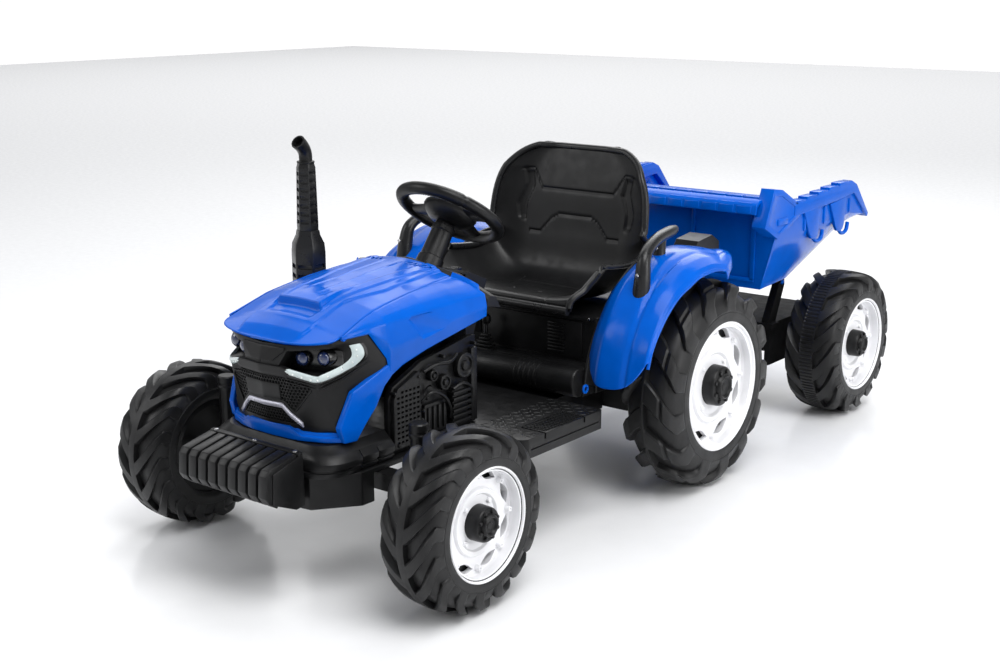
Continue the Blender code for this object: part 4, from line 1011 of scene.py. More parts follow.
def seat():
    """Bucket seat with a rolled rim, engraved panels, side channels and pan slots."""
    line = spline(SEAT_LINE, 200)
    shares = [-1, -0.995, -0.985] + list(np.linspace(-0.97, 0.97, 161)) + [0.985, 0.995, 1]
    rows = []
    for k, place in enumerate(line):
        row = []
        before, after = line[max(k - 1, 0)], line[min(k + 1, len(line) - 1)]
        along = Vector((0, after.x - before.x, after.y - before.y)).normalized()
        down = Vector((0, along.z, -along.y))
        for u in shares:
            point = seat_from(place, u)
            deep = seat_mark(point.x, point.z, point.y)
            row.append(point + down * deep)
        rows.append(row)
    skin = sheet(rows)
    piece("seat_skin", skin, "satin_black", replaces=["seat"], wall=0.0048, bevel=0.0016)
    rim = [seat_from(line[k], -0.995) for k in range(6, len(line), 3)]
    crown = [seat_from(line[-1], u) for u in np.linspace(-0.95, 0.95, 15)]
    other = [seat_from(line[k], 0.995) for k in range(len(line) - 3, 5, -3)]
    path = rim + crown + other
    lifted = [Vector((p.x * 0.985, p.y + 0.0005, min(p.z, 0.5945))) for p in path]
    rolled = swept(lifted, circle(0.0062, 12), up=(0.02, 1, 0.25))
    piece("seat_rim", rolled, "handle_grey")
    front = [seat_from(line[5], u) + Vector((0, -0.001, -0.004)) for u in np.linspace(-0.97, 0.97, 25)]
    roll = swept(front, circle(0.0075, 12))
    piece("seat_lip", roll, "handle_grey")


# Mudguard crest radius about the axle, from the rear round to the front
FENDER_CREST = [(45, 0.257), (56, 0.249), (70, 0.243), (85, 0.245), (100, 0.256), (115, 0.267),
                (130, 0.273), (150, 0.272), (168, 0.268)]
# Section from the inner to the outer edge: x, drop below the crest, and the edge's extra roll-off
FENDER_SECTION = [(0.1965, 0.03, 0), (0.215, 0.013, 0), (0.236, 0, 0), (0.272, 0.001, 0),
                  (0.305, 0.004, 0.3), (0.33, 0.004, 1)]


def fender_point(x, degrees, raised=0.0):
    """A point of the mudguard's upper surface on the +X side."""
    columns = [s[0] for s in FENDER_SECTION]
    drop = smooth_between(x, columns, [s[1] for s in FENDER_SECTION])
    roll = smooth_between(x, columns, [s[2] for s in FENDER_SECTION])
    radius = smooth_between(degrees, [c[0] for c in FENDER_CREST], [c[1] for c in FENDER_CREST]) - drop
    radius -= 0.023 * roll * clamped((155 - degrees) / 35)
    radius += raised
    angle = math.radians(degrees)
    return Vector((x, radius * math.cos(angle), REAR_Z + radius * math.sin(angle)))


def smooth_between(at, places, values):
    """A smooth curve through a table, without overshoot beyond its neighbours' slopes."""
    slopes = np.gradient(values, places)
    k = int(min(len(places) - 2, max(0, np.searchsorted(places, at) - 1)))
    width = places[k + 1] - places[k]
    t = clamped((at - places[k]) / width)
    a, b = values[k], values[k + 1]
    h = t * t * (3 - 2 * t)
    return float(a + (b - a) * h * 0.5 + (b - a) * t * 0.5
                 + 0.5 * width * t * (1 - t) * ((1 - t) * slopes[k] - t * slopes[k + 1]) * 0.6)


def fender(side_name, sign):
    """Mudguard with a rolled outer lip, a ridge line parallel to it and a soft tail."""
    rows = []
    steps = 100
    outs = list(np.linspace(0, 0.9, 34)) + [0.915, 0.93, 0.945, 0.96, 0.975, 0.99, 1.0]
    for k in range(steps + 1):
        row = []
        for outer in outs:
            x = 0.1965 + (0.33 - 0.1965) * outer
            start = 46 + 32 * outer**1.5 + 8 * abs(2 * outer - 1) ** 4
            end = 172 - 12 * abs(2 * outer - 1) ** 2.6 - 2 * outer
            degrees = start + (end - start) * k / steps
            raised = -0.0022 * bump_at(outer, 0.7, 0.01, 0.02)
            raised -= 0.01 * max(0.0, (outer - 0.955) / 0.045) ** 2
            raised += 0.006 * bump_at(k / steps, 0.065, 0.02, 0.065) * bump_at(outer, 0.5, 0.25, 0.22)
            raised -= 0.014 * max(0.0, (0.04 - k / steps) / 0.04) ** 2
            row.append(fender_point(x, degrees, raised))
        rows.append([(sign * p.x, p.y, p.z) for p in row])
    skin = sheet(rows)
    if sign > 0:
        bmesh.ops.reverse_faces(skin, faces=skin.faces)
    piece(f"fender_{side_name}_skin", skin, "gloss_blue", replaces=[f"fender_{side_name}"], wall=0.004,
          bevel=0.0012)
    edge = []
    for k in range(0, steps + 1, 3):
        degrees = 86 + (162 - 86) * k / steps
        edge.append(fender_point(0.327, degrees, -0.0085))
    lip = swept([(sign * p.x, p.y, p.z) for p in edge], circle(0.003, 10), up=(1, 0, 0))
    piece(f"fender_{side_name}_lip", lip, "gloss_blue")
    loop = [(-0.26 + 0.0062 * math.cos(a), 0.2225 + 0.0062 * math.sin(a))
            for a in (math.tau * k / 24 for k in range(24))]
    ring = swept([(sign * 0.213, y, z) for y, z in loop], circle(0.0022, 10), up=(1, 0, 0), closed=True)
    piece(f"fender_{side_name}_tab", ring, "gloss_blue")


def grab_handle(side_name, sign):
    """Thick bent grab bar with a flared front foot, a short rear foot and a screw in each end."""
    path = [(0.27, -0.18, 0.372), (0.27, -0.176, 0.412), (0.266, -0.163, 0.446),
            (0.256, -0.112, 0.466), (0.243, -0.03, 0.472)]
    path = spline([(sign * x, y, z) for x, y, z in path], 48)
    sections = []
    for k in range(len(path)):
        radius = 0.0165 - 0.006 * min(1, k / 26)
        if k > 43:
            radius *= (1 - ((k - 43) / 5) ** 2 * 0.45)
        sections.append(circle(radius, 24))
    bar = swept(path, sections, up=(1, 0, 0))
    foot = turned_along([(0, 0), (0, 0.0115), (0.026, 0.0112), (0.034, 0.0135), (0.048, 0.0155), (0.048, 0)],
                        (sign * 0.248, -0.088, 0.466), (0, -0.05, -1), 28)
    screws = []
    for place in ((sign * 0.27, -0.1945, 0.417), (sign * 0.248, -0.1, 0.448)):
        screws.append(turned_along([(0, 0), (0, 0.0034), (0.0014, 0.003), (0.0018, 0)], place, (0, -1, 0.08),
                                   16))
    piece(f"handle_{side_name}", merged(bar, foot), "handle_grey", replaces=[f"grab_handle_{side_name}"])
    piece(f"handle_screws_{side_name}", merged(*screws), "bright_steel")


# ---------------------------------------------------------------- steering wheel and controls

STEER_HUB = Vector((0, -0.363, 0.519))
STEER_TILT = math.radians(35.5)
STEER_AXIS = Vector((0, math.sin(STEER_TILT), math.cos(STEER_TILT)))


def on_wheel(x, down, up):
    """A point given in the steering wheel's own plane: across, towards the driver, along its axis."""
    toward = Vector((0, math.cos(STEER_TILT), -math.sin(STEER_TILT)))
    return STEER_HUB + Vector((x, 0, 0)) + toward * down + STEER_AXIS * up


def steering_wheel():
    """Rim with grip knurls at the top, three flat spokes and a bowl-shaped hub."""
    centre_radius, tube = 0.0868, 0.0116
    steps, around = 216, 20
    rings = []
    for k in range(steps):
        a = math.tau * k / steps
        top = abs(((math.degrees(a) - 270 + 180) % 360) - 180)
        seam_ring = 0.001 if 50 <= top < 53 else 0.0
        ring = []
        for i in range(around):
            b = math.tau * i / around
            grip = 0.0005 * (-1) ** (k + i) if top < 50 else 0.0
            radius = tube - 0.0005 + grip - seam_ring
            reach = centre_radius + radius * math.cos(b)
            ring.append(on_wheel(reach * math.cos(a), reach * math.sin(a), radius * 0.95 * math.sin(b)))
        rings.append(ring)
    rings.append(rings[0])
    rim = lofted(rings, capped=False)
    bmesh.ops.remove_doubles(rim, verts=rim.verts, dist=1e-7)
    parts = [rim]
    for degrees in (0, 180, 90):
        a = math.radians(degrees)
        spoke = []
        for t in range(9):
            share = t / 8
            reach = 0.02 + 0.066 * share
            half = 0.03 - 0.015 * math.sin(math.pi * min(1, share * 1.1) / 2) + 0.0045 * share**5
            height = 0.002 - 0.002 * share
            ring = []
            for i in range(16):
                b = math.tau * i / 16
                across = half * math.cos(b)
                rise = 0.0058 * math.sin(b)
                x = reach * math.cos(a) - across * math.sin(a)
                y = reach * math.sin(a) + across * math.cos(a)
                ring.append(on_wheel(x, y, height + rise))
            spoke.append(ring)
        parts.append(lofted(spoke))
    hub = turned_along(
        [(-0.02, 0), (-0.02, 0.026), (-0.014, 0.036), (-0.006, 0.045), (0.001, 0.048), (0.006, 0.047),
         (0.01, 0.04), (0.014, 0.031), (0.015, 0.0225), (0.0085, 0.0208), (0.0083, 0)],
        STEER_HUB, STEER_AXIS, 64)
    parts.append(hub)
    piece("steering_wheel_body", merged(*parts), "satin_black", "steering", ["steering_wheel"])
    badge = [(0, 0), (0, 0.007), (0.0012, 0.0062), (0.0016, 0)]
    oval = turned_along(badge, on_wheel(0, 0.06, 0.0075), STEER_AXIS, 32)
    piece("steering_spoke_badge", oval, "gloss_black", "steering")
    cap = turned_along(
        [(0.014, 0), (0.014, 0.0192), (0.0215, 0.0188), (0.0245, 0.0178), (0.0262, 0.015), (0.027, 0.011),
         (0.0262, 0.008), (0.0268, 0.006), (0.0272, 0)], STEER_HUB, STEER_AXIS, 48)
    piece("horn_cap", cap, "gloss_black", "horn", ["horn_button"])


def column():
    """Sleeve of the steering column with its collar and base ring."""
    start = STEER_HUB - STEER_AXIS * 0.098
    sleeve = turned_along(
        [(-0.04, 0.0), (-0.04, 0.025), (0.0, 0.0235), (0.012, 0.0225), (0.014, 0.0205), (0.06, 0.019),
         (0.062, 0.0205), (0.07, 0.02), (0.072, 0.0178), (0.076, 0.0172), (0.076, 0.0095)], start,
         STEER_AXIS, 48)
    piece("column_sleeve", sleeve, "satin_black")


# ---------------------------------------------------------------- nose block, exhaust and lower body


def bumper():
    """Nose weight block: nine deep ribs over its top and front, and a screwed strip behind them."""
    core = prism([(-0.884, 0.176), (-0.882, 0.206), (-0.874, 0.214), (-0.818, 0.227), (-0.816, 0.15),
                  (-0.832, 0.147), (-0.876, 0.166)], "x", -0.0955, 0.0955)
    ribs = []
    pitch = 0.196 / 9
    for k in range(9):
        x = -0.098 + pitch * (k + 0.5)
        outline = [(-0.8915, 0.18), (-0.8895, 0.212), (-0.883, 0.2205), (-0.8285, 0.2318), (-0.828, 0.2),
                   (-0.87, 0.16), (-0.885, 0.17)]
        ribs.append(prism(outline, "x", x - 0.0083, x + 0.0083))
    strip = prism([(-0.827, 0.215), (-0.8265, 0.2325), (-0.818, 0.234), (-0.8165, 0.19)], "x", -0.097, 0.097)
    cheeks = [prism([(-0.88, 0.168), (-0.878, 0.214), (-0.818, 0.23), (-0.816, 0.15), (-0.834, 0.148)],
                    "x", *sorted((sign * 0.0945, sign * 0.098))) for sign in (-1, 1)]
    piece("bumper_block", merged(core, strip, *ribs, *cheeks), "satin_black", replaces=["front_bumper"],
          bevel=0.0011, segments=2)
    screws = [turned_along([(0, 0), (0, 0.0036), (0.001, 0.0034), (0.0016, 0.0024), (0.0016, 0)],
                           (x, -0.8225, 0.233), (0, -0.16, 1), 20) for x in (-0.086, 0, 0.086)]
    piece("bumper_screws", merged(*screws), "bright_steel")


def skirt():
    """Stepped lower nose that wraps the front of the chassis."""
    rings = []
    for z, half, front in ((0.1906, 0.1355, -0.8115), (0.1985, 0.138, -0.8105), (0.199, 0.1362, -0.808),
                           (0.2025, 0.1362, -0.808), (0.203, 0.1392, -0.8085), (0.212, 0.14, -0.806),
                           (0.223, 0.13, -0.7985), (0.224, 0.128, -0.7965), (0.2335, 0.118, -0.79)):
        outline = [(0, front)]
        corner = half - 0.042
        for t in range(11):
            a = math.radians(9 * t)
            outline.append((corner + 0.042 * math.sin(a), front + 0.042 * (1 - math.cos(a))))
        outline += [(half, -0.664), (0, -0.664)]
        rings.append([(x, y, z) for x, y in mirrored(outline)])
    cuts = []
    for sign in (-1, 1):
        cuts.append(block(sorted((sign * 0.13, sign * 0.15)), (-0.735, -0.7335), (0.188, 0.222)))
        cuts.append(block(sorted((sign * 0.13, sign * 0.15)), (-0.7, -0.6985), (0.188, 0.218)))
    piece("nose_skirt_cover", lofted(rings), "satin_black", replaces=["nose_skirt"], cut=cuts, bevel=0.001)


def exhaust():
    """Six-sided stack in two stages with rows of slots, a collar and a bent open outlet."""
    x, y = -0.184, -0.519

    def hexagon(z, radius):
        return [(x + radius * math.cos(a), y + radius * math.sin(a), z)
                for a in (math.tau * (k + 0.5) / 6 for k in range(6))]

    body = lofted([hexagon(z, r) for z, r in ((0.2005, 0.022), (0.23, 0.03), (0.455, 0.03), (0.47, 0.0285),
                                              (0.484, 0.0215), (0.492, 0.0205))])
    upper = lofted([hexagon(z, r) for z, r in ((0.488, 0.0185), (0.5, 0.019), (0.598, 0.0168), (0.604, 0.015),
                                               (0.608, 0.0145))])
    lower_cuts, cuts = [], []
    for turn_by in range(6):
        angle = 60 * turn_by
        for z in [0.25 + 0.0165 * k for k in range(12) if k not in (4, 9)]:
            cut = block((x + 0.0222, x + 0.04), (y - 0.0115, y + 0.0115), (z - 0.0036, z + 0.0036))
            lower_cuts.append(turn(cut, angle, "Z", (x, y, 0)))
        for z in [0.507 + 0.0135 * k for k in range(7)]:
            cut = block((x + 0.0128, x + 0.03), (y - 0.0072, y + 0.0072), (z - 0.003, z + 0.003))
            cuts.append(turn(cut, angle, "Z", (x, y, 0)))
    foot = block((x - 0.022, x + 0.024), (y - 0.022, y + 0.022), (0.1978, 0.206))
    piece("exhaust_body", body, "handle_grey", replaces=["exhaust_stack"], cut=lower_cuts, bevel=0.0009)
    piece("exhaust_upper", upper, "handle_grey", cut=cuts, bevel=0.0007)
    piece("exhaust_foot", foot, "satin_black", bevel=0.0012)
    path = spline([(x, y, 0.6), (x, y, 0.618), (x + 0.0003, y - 0.0035, 0.628), (x + 0.001, y - 0.01, 0.6358),
                   (x + 0.0018, y - 0.0185, 0.6427)], 22)
    sections = [circle(0.0112 + 0.0014 * (k / 21) ** 2, 28) for k in range(22)]
    tube = swept(path, sections, up=(1, 0, 0))
    end, run = path[-1], (path[-1] - path[-2]).normalized()
    bore = rod(end - run * 0.012, end + run * 0.01, 0.0098, sides=24)
    piece("exhaust_outlet", tube, "satin_black", cut=[bore], bevel=0.0008)
    collar = turned([(0.6055, 0.0), (0.6055, 0.015), (0.609, 0.015), (0.609, 0.0)], (x, y, 0), "z", 40)
    piece("exhaust_collar", collar, "satin_black", bevel=0.0008)


def engine_cover(side_name, sign):
    """Moulded engine: perforated plate, cylinder fins, flywheel, hoses and a coil."""
    outline = [(-0.662, 0.1912), (-0.662, 0.282), (-0.652, 0.2985), (-0.586, 0.3255), (-0.47, 0.3435),
               (-0.452, 0.3435), (-0.452, 0.1978), (-0.582, 0.1978), (-0.582, 0.1912)]
    base = prism(outline, "x", 0.116, 0.1255)
    solids = [base]
    plate = prism([(-0.658, 0.2), (-0.658, 0.28), (-0.648, 0.296), (-0.6, 0.315), (-0.592, 0.2)],
                  "x", 0.124, 0.1335)
    holes = []
    for row in range(11):
        for column in range(6):
            y, z = -0.6505 + column * 0.0092, 0.2075 + row * 0.008
            if z < 0.285 + (y + 0.65) * 0.35:
                holes.append(block((0.129, 0.14), (y, y + 0.0058), (z, z + 0.0036)))
    for wheel_y, wheel_z, size in ((-0.487, 0.3, 0.021), (-0.537, 0.283, 0.013), (-0.565, 0.3, 0.0095)):
        solids.append(turned([(0.124, 0), (0.124, size), (0.135, size), (0.136, size * 0.9),
                              (0.136, size * 0.72),
                              (0.1325, size * 0.66), (0.1325, size * 0.42), (0.137, size * 0.38),
                              (0.1375, size * 0.2), (0.1375, 0)], (0, wheel_y, wheel_z), steps=48))
    for k in range(6):
        z = 0.209 + 0.0098 * k
        solids.append(block((0.124, 0.14), (-0.523, -0.479), (z, z + 0.0052)))
    solids.append(block((0.124, 0.1345), (-0.52, -0.482), (0.203, 0.27)))
    solids.append(block((0.124, 0.132), (-0.585, -0.535), (0.206, 0.255)))
    for k in range(4):
        y = -0.58 + 0.0125 * k
        solids.append(block((0.124, 0.1355), (y, y + 0.006), (0.212, 0.25)))
    solids.append(block((0.124, 0.133), (-0.47, -0.456), (0.203, 0.325)))
    for path in (
        [(0.13, -0.59, 0.262), (0.137, -0.572, 0.275), (0.139, -0.545, 0.262), (0.138, -0.53, 0.24),
         (0.132, -0.524, 0.222)],
        [(0.13, -0.47, 0.235), (0.138, -0.478, 0.262), (0.139, -0.5, 0.274), (0.136, -0.52, 0.268)],
        [(0.13, -0.585, 0.31), (0.137, -0.56, 0.318), (0.138, -0.53, 0.316), (0.131, -0.505, 0.322)],
        [(0.13, -0.59, 0.235), (0.136, -0.588, 0.222), (0.136, -0.56, 0.204), (0.131, -0.52, 0.203)],
    ):
        solids.append(swept(spline(path, 26), circle(0.003, 12)))
    coil_path = [(0.133 + 0.0052 * math.cos(a), -0.575 - 0.0015 * a + 0.0052 * math.sin(a) * 0.5,
                  0.285 - 0.0028 * a + 0.0052 * math.sin(a)) for a in np.linspace(0, math.tau * 5, 90)]
    solids.append(swept(coil_path, circle(0.0014, 8), up=(0.3, 1, 0.2)))
    bolts = []
    for y, z in ((-0.655, 0.29), (-0.6, 0.306), (-0.648, 0.205), (-0.462, 0.332), (-0.54, 0.326)):
        bolts.append(turned([(0.124, 0), (0.124, 0.003), (0.1352, 0.0028), (0.1358, 0.0018), (0.1358, 0)],
                            (0, y, z), steps=14))
    whole = merged(*solids, *bolts)
    name = f"engine_cover_{side_name}"
    piece(f"{name}_relief", sided(whole, sign), "satin_black", replaces=[name], bevel=0.0006)
    piece(f"{name}_plate", sided(plate, sign), "satin_black", cut=[sided(merged(*holes), sign)],
          bevel=0.0004)


def footboard():
    """Floor pan with a lozenge-patterned tread, a ribbed pad on each step and a rolled edge."""
    outline = mirrored([(0, -0.58), (0.15, -0.58), (0.165, -0.54), (0.225, -0.5), (0.25, -0.484),
                        (0.255, -0.476), (0.255, -0.272), (0.251, -0.268), (0, -0.268)])
    top = prism(outline, "z", 0.163, 0.196)
    slots = []
    for sign in (-1, 1):
        for y in (-0.432, -0.322):
            slots.append(block(sorted((sign * 0.206, sign * 0.27)), (y - 0.0022, y + 0.0022), (0.186, 0.21)))
        slots.append(block(sorted((sign * 0.205, sign * 0.2075)), (-0.429, -0.325), (0.1925, 0.21)))
        slots.append(block(sorted((sign * 0.2525, sign * 0.27)), (-0.47, -0.28), (0.176, 0.1785)))
    piece("floor_pan", top, "satin_black", replaces=["footboard"], cut=slots, bevel=0.002, segments=3)
    marks = []
    for sign in (-1, 1):
        for row in range(20):
            for column in range(8):
                x, y = 0.15 + column * 0.0138, -0.512 + row * 0.0124
                pad = 0.198 < x and -0.442 < y < -0.314
                if x > 0.248 or y > -0.274 or pad or y < -0.498 + max(0, x - 0.19) * 0.6:
                    continue
                lean = 45 if (row + column) % 2 else -45
                ring = [(6.4, 0), (3.6, 1.9), (-3.6, 1.9), (-6.4, 0), (-3.6, -1.9), (3.6, -1.9)]
                low = lofted([[(x + a * size / 1000, y + b * size / 1000, z) for a, b in ring]
                              for z, size in ((0.195, 1.0), (0.1962, 1.0), (0.197, 0.62))])
                turn(low, lean, "Z", (x, y, 0))
                marks.append(sided(low, sign))
        for row in range(14):
            for column in range(5):
                x, y = 0.2125 + column * 0.008, -0.426 + row * 0.0077
                marks.append(sided(block((x, x + 0.0056), (y, y + 0.005), (0.1955, 0.197)), sign))
    piece("floor_tread", merged(*marks), "handle_grey")


def plinth():
    """Rear body: panelled seat plinth, arch cheeks, axle housing, lever boot and spring cover."""
    arc = [math.radians(a) for a in range(52, 173, 5)]
    cheek = [(0.238 * math.cos(a), REAR_Z + 0.238 * math.sin(a)) for a in arc]
    cheek += [(-0.2, 0.21), (0.13, 0.25)]
    body = merged(
        block((-0.195, 0.195), (-0.2, 0.13), (0.1975, 0.3335)),
        block((-0.195, 0.195), (-0.098, 0.13), (0.14, 0.1985)),
        prism(cheek, "x", 0.19, 0.1951),
        prism(cheek, "x", -0.1951, -0.19),
    )
    piece("seat_plinth", body, "satin_black", replaces=["seat_box"], bevel=0.003, segments=3)
    front = [block((-0.165, 0.165), (-0.2035, -0.199), (0.256, 0.322)),
             block((-0.19, 0.19), (-0.206, -0.199), (0.326, 0.333))]
    for k in range(9):
        z = 0.262 + 0.0062 * k
        front.append(block((0.092, 0.128), (-0.2062, -0.2025), (z, z + 0.0034)))
    front.append(block((-0.15, -0.06), (-0.2058, -0.203), (0.27, 0.312)))
    piece("plinth_panels", merged(*front), "satin_black", bevel=0.0012)
    housing = [block((-0.19, 0.19), (-0.232, -0.198), (0.1978, 0.25)),
               turned([(-0.188, 0), (-0.188, 0.0245), (-0.184, 0.0262), (0.184, 0.0262), (0.188, 0.0245),
                       (0.188, 0)],
                      (0, -0.2395, 0.2245), steps=48)]
    for k in range(5):
        for x in (-0.12 + 0.011 * k, 0.06 + 0.011 * k):
            housing.append(turned([(x, 0), (x, 0.0269), (x + 0.006, 0.0269), (x + 0.006, 0)],
                                  (0, -0.2395, 0.2245), steps=48))
    piece("axle_housing", merged(*housing), "satin_black", bevel=0.001)
    boot = []
    for k in range(5):
        size = 0.019 - 0.0026 * k
        z = 0.248 + 0.0062 * k
        boot.append(block((-0.03 - size, -0.03 + size), (-0.229 - size * 0.55, -0.229 + size * 0.55),
                          (z, z + 0.0045)))
    boot.append(rod((-0.03, -0.229, 0.27), (-0.03, -0.227, 0.3), 0.0042, 0.0036))
    boot.append(turned([(0.296, 0), (0.296, 0.006), (0.302, 0.0085), (0.31, 0.0075), (0.314, 0.004),
                        (0.315, 0)],
                       (-0.03, -0.227, 0), "z", 24))
    piece("lever_boot", merged(*boot), "satin_black", bevel=0.0012)
    screws = [turned_along([(0, 0), (0, 0.0034), (0.0012, 0.003), (0.0016, 0)], (x, -0.2058, 0.3295),
                           (0, -1, 0), 18)
              for x in (-0.18, 0.18)]
    piece("plinth_screws", merged(*screws), "bright_steel")


def kingpin_caps():
    caps = []
    for sign in (-1, 1):
        cap = turned([(0.246, 0), (0.246, 0.0148), (0.2515, 0.0152), (0.253, 0.0142), (0.256, 0.0142),
                      (0.2575, 0.0152), (0.267, 0.0148), (0.2692, 0.0128), (0.2692, 0)],
                     (sign * 0.211, FRONT_AXLE, 0), "z", 40)
        caps.append(cap)
    piece("kingpin_caps", merged(*caps), "satin_black")


# ---------------------------------------------------------------- trailer

# Tub stations: y, floor z, floor half width, knee half width, knee z, top z
TUB = [
    (0.327, 0.2985, 0.229, 0.2565, 0.402, 0.47),
    (0.45, 0.301, 0.222, 0.2565, 0.402, 0.47),
    (0.56, 0.334, 0.219, 0.2565, 0.405, 0.474),
    (0.668, 0.3685, 0.218, 0.2565, 0.414, 0.474),
    (0.752, 0.395, 0.222, 0.2565, 0.402, 0.406),
]


def tub():
    """Tipping tub: thin moulded walls, rolled flanges with stepped dashes, corner posts, hooks, ears."""
    rows = []
    for y in list(np.linspace(0.327, 0.445, 12)) + list(np.linspace(0.452, 0.752, 30)):
        floor, low, knee, knee_z, top = (table(y, [(s[0], s[k]) for s in TUB]) for k in range(1, 6))
        half = [(knee, top), (knee, (top + knee_z) / 2), (knee, knee_z)]
        for t in (0.25, 0.5, 0.75):
            half.append((knee + (low - knee) * t, knee_z + (floor - knee_z) * t))
        half.append((low, floor))
        under = [(low * s, floor) for s in (0.66, 0.33, 0, -0.33, -0.66)]
        other = [(-x, z) for x, z in reversed(half)]
        rows.append([(x, y, z) for x, z in half + under + other])
    walls = sheet(rows)
    piece("tub_walls", walls, "gloss_blue", "tub", ["tub"], wall=0.004, bevel=0.0009)
    s = TUB[0]
    panel = [(s[2], s[1]), (s[3], s[4]), (s[3], s[5]), (-s[3], s[5]), (-s[3], s[4]), (-s[2], s[1])]
    front = [prism(panel, "y", 0.3272, 0.331)]
    for sign in (-1, 1):
        front.append(block(sorted((sign * 0.205, sign * 0.215)), (0.3235, 0.328), (0.315, 0.455)))
        front.append(block(sorted((sign * 0.068, sign * 0.076)), (0.3235, 0.328), (0.315, 0.455)))
    front.append(block((-0.215, 0.215), (0.3235, 0.328), (0.312, 0.32)))
    piece("tub_front_wall", merged(*front), "gloss_blue", "tub", bevel=0.0014)
    lip = [(0.275, 0.457), (0.279, 0.475), (0.29, 0.4835), (0.33, 0.489), (0.331, 0.457), (0.326, 0.457),
           (0.325, 0.48), (0.293, 0.477), (0.283, 0.47), (0.28, 0.457)]
    flange = [prism(lip, "x", -0.24, 0.24)]
    for k in range(12):
        x = -0.2145 + 0.039 * k
        flange.append(block((x - 0.0185, x + 0.0185), (0.302, 0.323), (0.48, 0.4886)))
        flange.append(prism([(0.2748, 0.458), (0.2772, 0.4725), (0.283, 0.479), (0.29, 0.479),
                             (0.286, 0.458)],
                            "x", x - 0.0185, x + 0.014))
    piece("tub_front_flange", merged(*flange), "gloss_blue", "tub", bevel=0.0014, segments=3)
    for side_name, sign in SIDES.items():
        rail = [(0.4, 0.44), (0.4, 0.466), (0.663, 0.485), (0.688, 0.475), (0.755, 0.404),
                (0.75, 0.396), (0.678, 0.457), (0.59, 0.449)]
        solids = [prism(rail, "x", 0.238, 0.262)]
        post = [(0.275, 0.433), (0.309, 0.506), (0.344, 0.501), (0.415, 0.466), (0.424, 0.44), (0.331, 0.404)]
        wedge = [(0.292, 0.44), (0.314, 0.492), (0.342, 0.489), (0.404, 0.46), (0.408, 0.446), (0.334, 0.416)]
        pocket = prism(wedge, "x", 0.26, 0.27)
        for y in (0.485, 0.606):
            drop = [(y - 0.042, 0.446), (y + 0.034, 0.454), (y + 0.028, 0.396), (y + 0.022, 0.385),
                    (y + 0.01, 0.381), (y - 0.004, 0.384), (y - 0.014, 0.395)]
            solids.append(prism(drop, "x", 0.2545, 0.2618))
            curl = [(0.2575, y + 0.008, 0.386), (0.2575, y + 0.022, 0.376), (0.2575, y + 0.038, 0.375),
                    (0.2575, y + 0.049, 0.381), (0.2575, y + 0.053, 0.396)]
            solids.append(swept(spline(curl, 24), circle(0.0042, 12), up=(1, 0, 0)))
        for y in (0.455, 0.545, 0.665):
            low = table(y, [(s[0], s[1]) for s in TUB])
            knee_z = table(y, [(s[0], s[4]) for s in TUB])
            rib = [(0.2225, low + 0.012), (0.255, knee_z), (0.2595, knee_z + 0.004), (0.2595, 0.446),
                   (0.255, 0.446),
                   (0.218, low + 0.02)]
            solids.append(prism(rib, "y", y - 0.004, y + 0.004))
        ear_y, ear_z = 0.505, 0.28
        ear = [(ear_y - 0.024, 0.3125), (ear_y + 0.036, 0.3305), (ear_y + 0.01, ear_z - 0.005),
               (ear_y + 0.005, ear_z - 0.0085), (ear_y - 0.005, ear_z - 0.0085),
               (ear_y - 0.01, ear_z - 0.005)]
        solids.append(prism(ear, "x", 0.154, 0.168))
        solids.append(turned([(0.158, 0), (0.158, 0.005), (0.19, 0.005), (0.19, 0)], (0, ear_y, ear_z),
                             steps=32))
        corner = sided(prism(post, "x", 0.232, 0.2618), sign)
        piece(f"tub_post_{side_name}", corner, "gloss_blue", "tub", cut=[sided(pocket, sign)], bevel=0.002,
              segments=3)
        solids.append(block((0.256, 0.2622), (0.33, 0.372), (0.43, 0.444)))
        whole = sided(merged(*solids), sign)
        piece(f"tub_rail_{side_name}", whole, "gloss_blue", "tub", bevel=0.0018, segments=3)
        dashes = []
        for k in range(5):
            y = 0.425 + 0.05 * k
            z = 0.4705 + (y - 0.425) * 0.072
            dashes.append(block((0.24, 0.2618), (y - 0.0215, y + 0.0215), (z - 0.006, z + 0.0008)))
        piece(f"tub_dashes_{side_name}", sided(merged(*dashes), sign), "gloss_blue", "tub", bevel=0.001)


# ---------------------------------------------------------------- studio


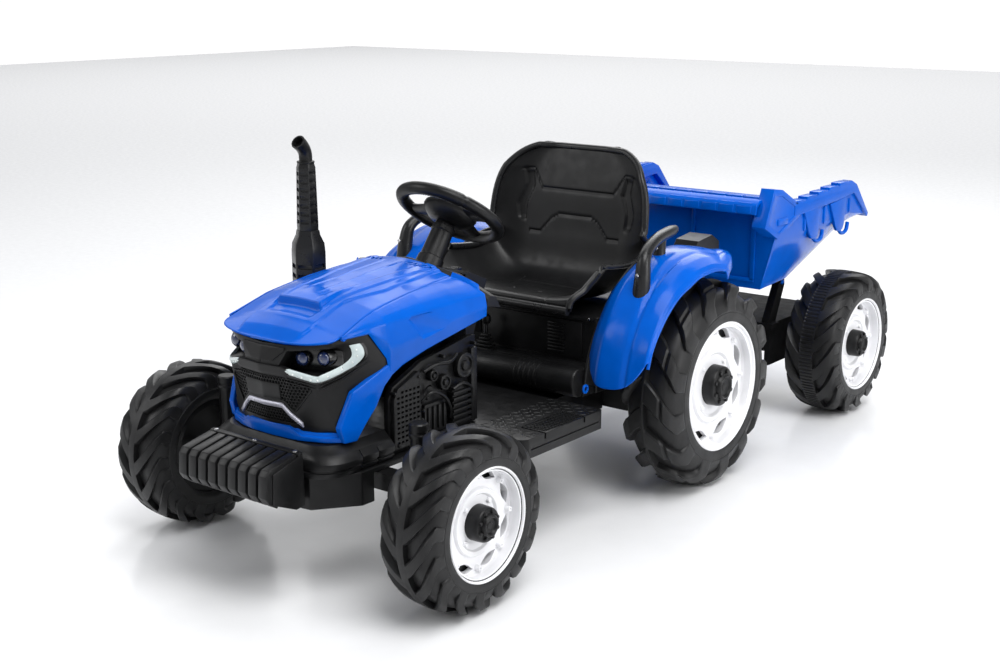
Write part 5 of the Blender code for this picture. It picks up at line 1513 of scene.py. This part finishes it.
def studio():
    """Pale floor, soft lights and the camera."""
    reach = 12
    square = sheet([[(-reach, y, 0), (reach, y, 0)] for y in (-reach, reach)])
    floor = plain_object("floor", square, "pale_floor")
    world = bpy.data.worlds.new("studio")
    world.use_nodes = True
    nodes, links = world.node_tree.nodes, world.node_tree.links
    heights = nodes.new("ShaderNodeSeparateXYZ")
    sky = nodes.new("ShaderNodeValToRGB")
    sky.color_ramp.elements[0].position = 0.02
    sky.color_ramp.elements[0].color = (1.0, 1.0, 1.0, 1)
    sky.color_ramp.elements[1].position = 0.45
    sky.color_ramp.elements[1].color = (0.24, 0.245, 0.255, 1)
    lower = sky.color_ramp.elements.new(0.08)
    lower.color = (0.5, 0.5, 0.51, 1)
    nodes["Background"].inputs["Strength"].default_value = 1.04
    links.new(nodes.new("ShaderNodeTexCoord").outputs["Generated"], heights.inputs["Vector"])
    links.new(heights.outputs["Z"], sky.inputs["Fac"])
    links.new(sky.outputs["Color"], nodes["Background"].inputs["Color"])
    bpy.context.scene.world = world
    lights = [
        ("key", (1.6, -0.8, 3.4), (0, 0, 0.2), 2.4, 112),
        ("side", (3.4, 0.4, 1.5), (0, 0, 0.3), 1.8, 50),
        ("fill", (-2.4, -2.6, 2.2), (0, -0.2, 0.3), 2.0, 40),
        ("back", (-1.2, 2.8, 2.8), (0, 0, 0.3), 2.4, 45),
        ("far", (-5.5, 8.0, 6.0), (-5.5, 8.0, 0), 14.0, 1050),
    ]
    for name, place, target, size, power in lights:
        light = bpy.data.lights.new(name, "AREA")
        light.size = size
        light.energy = power
        lamp = bpy.data.objects.new(name, light)
        lamp.location = place
        lamp.rotation_euler = (Vector(target) - Vector(place)).to_track_quat("-Z", "Y").to_euler()
        bpy.context.scene.collection.objects.link(lamp)
    view = bpy.data.cameras.new("view")
    view.lens = 51.83
    view.sensor_width = 36
    camera = bpy.data.objects.new("view", view)
    axes = (Vector((0.787, 0.617, 0)), Vector((-0.1487, 0.1897, 0.9705)), Vector((0.5988, -0.7637, 0.241)))
    turned_to = Matrix([axis.normalized() for axis in axes]).transposed()
    camera.matrix_world = Matrix.Translation((1.56128, AXLE_Y - 2.21668, 0.91066)) @ turned_to.to_4x4()
    bpy.context.scene.collection.objects.link(camera)
    bpy.context.scene.camera = camera
    bpy.context.scene.view_settings.view_transform = "Standard"


# ---------------------------------------------------------------- build


def plain_nodes():
    """Finishes of the CAD nodes that no piece replaces."""
    looks = {"power_button": "gloss_black", "direction_switch": "gloss_black", "trailer_frame": "frame_black"}
    for name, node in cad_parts.items():
        if not node.hide_render:
            metal = any(word in name for word in ("axle", "pin", "shaft"))
            dress(node, looks.get(name, "bright_steel" if metal else "satin_black"))


studio()
wheels()
bonnet_top()
side_cowls()
mask()
lamps()
moustache()
seat()
for side, sign in SIDES.items():
    fender(side, sign)
    grab_handle(side, sign)
    engine_cover(side, sign)
steering_wheel()
column()
bumper()
skirt()
exhaust()
footboard()
plinth()
kingpin_caps()
tub()
plain_nodes()
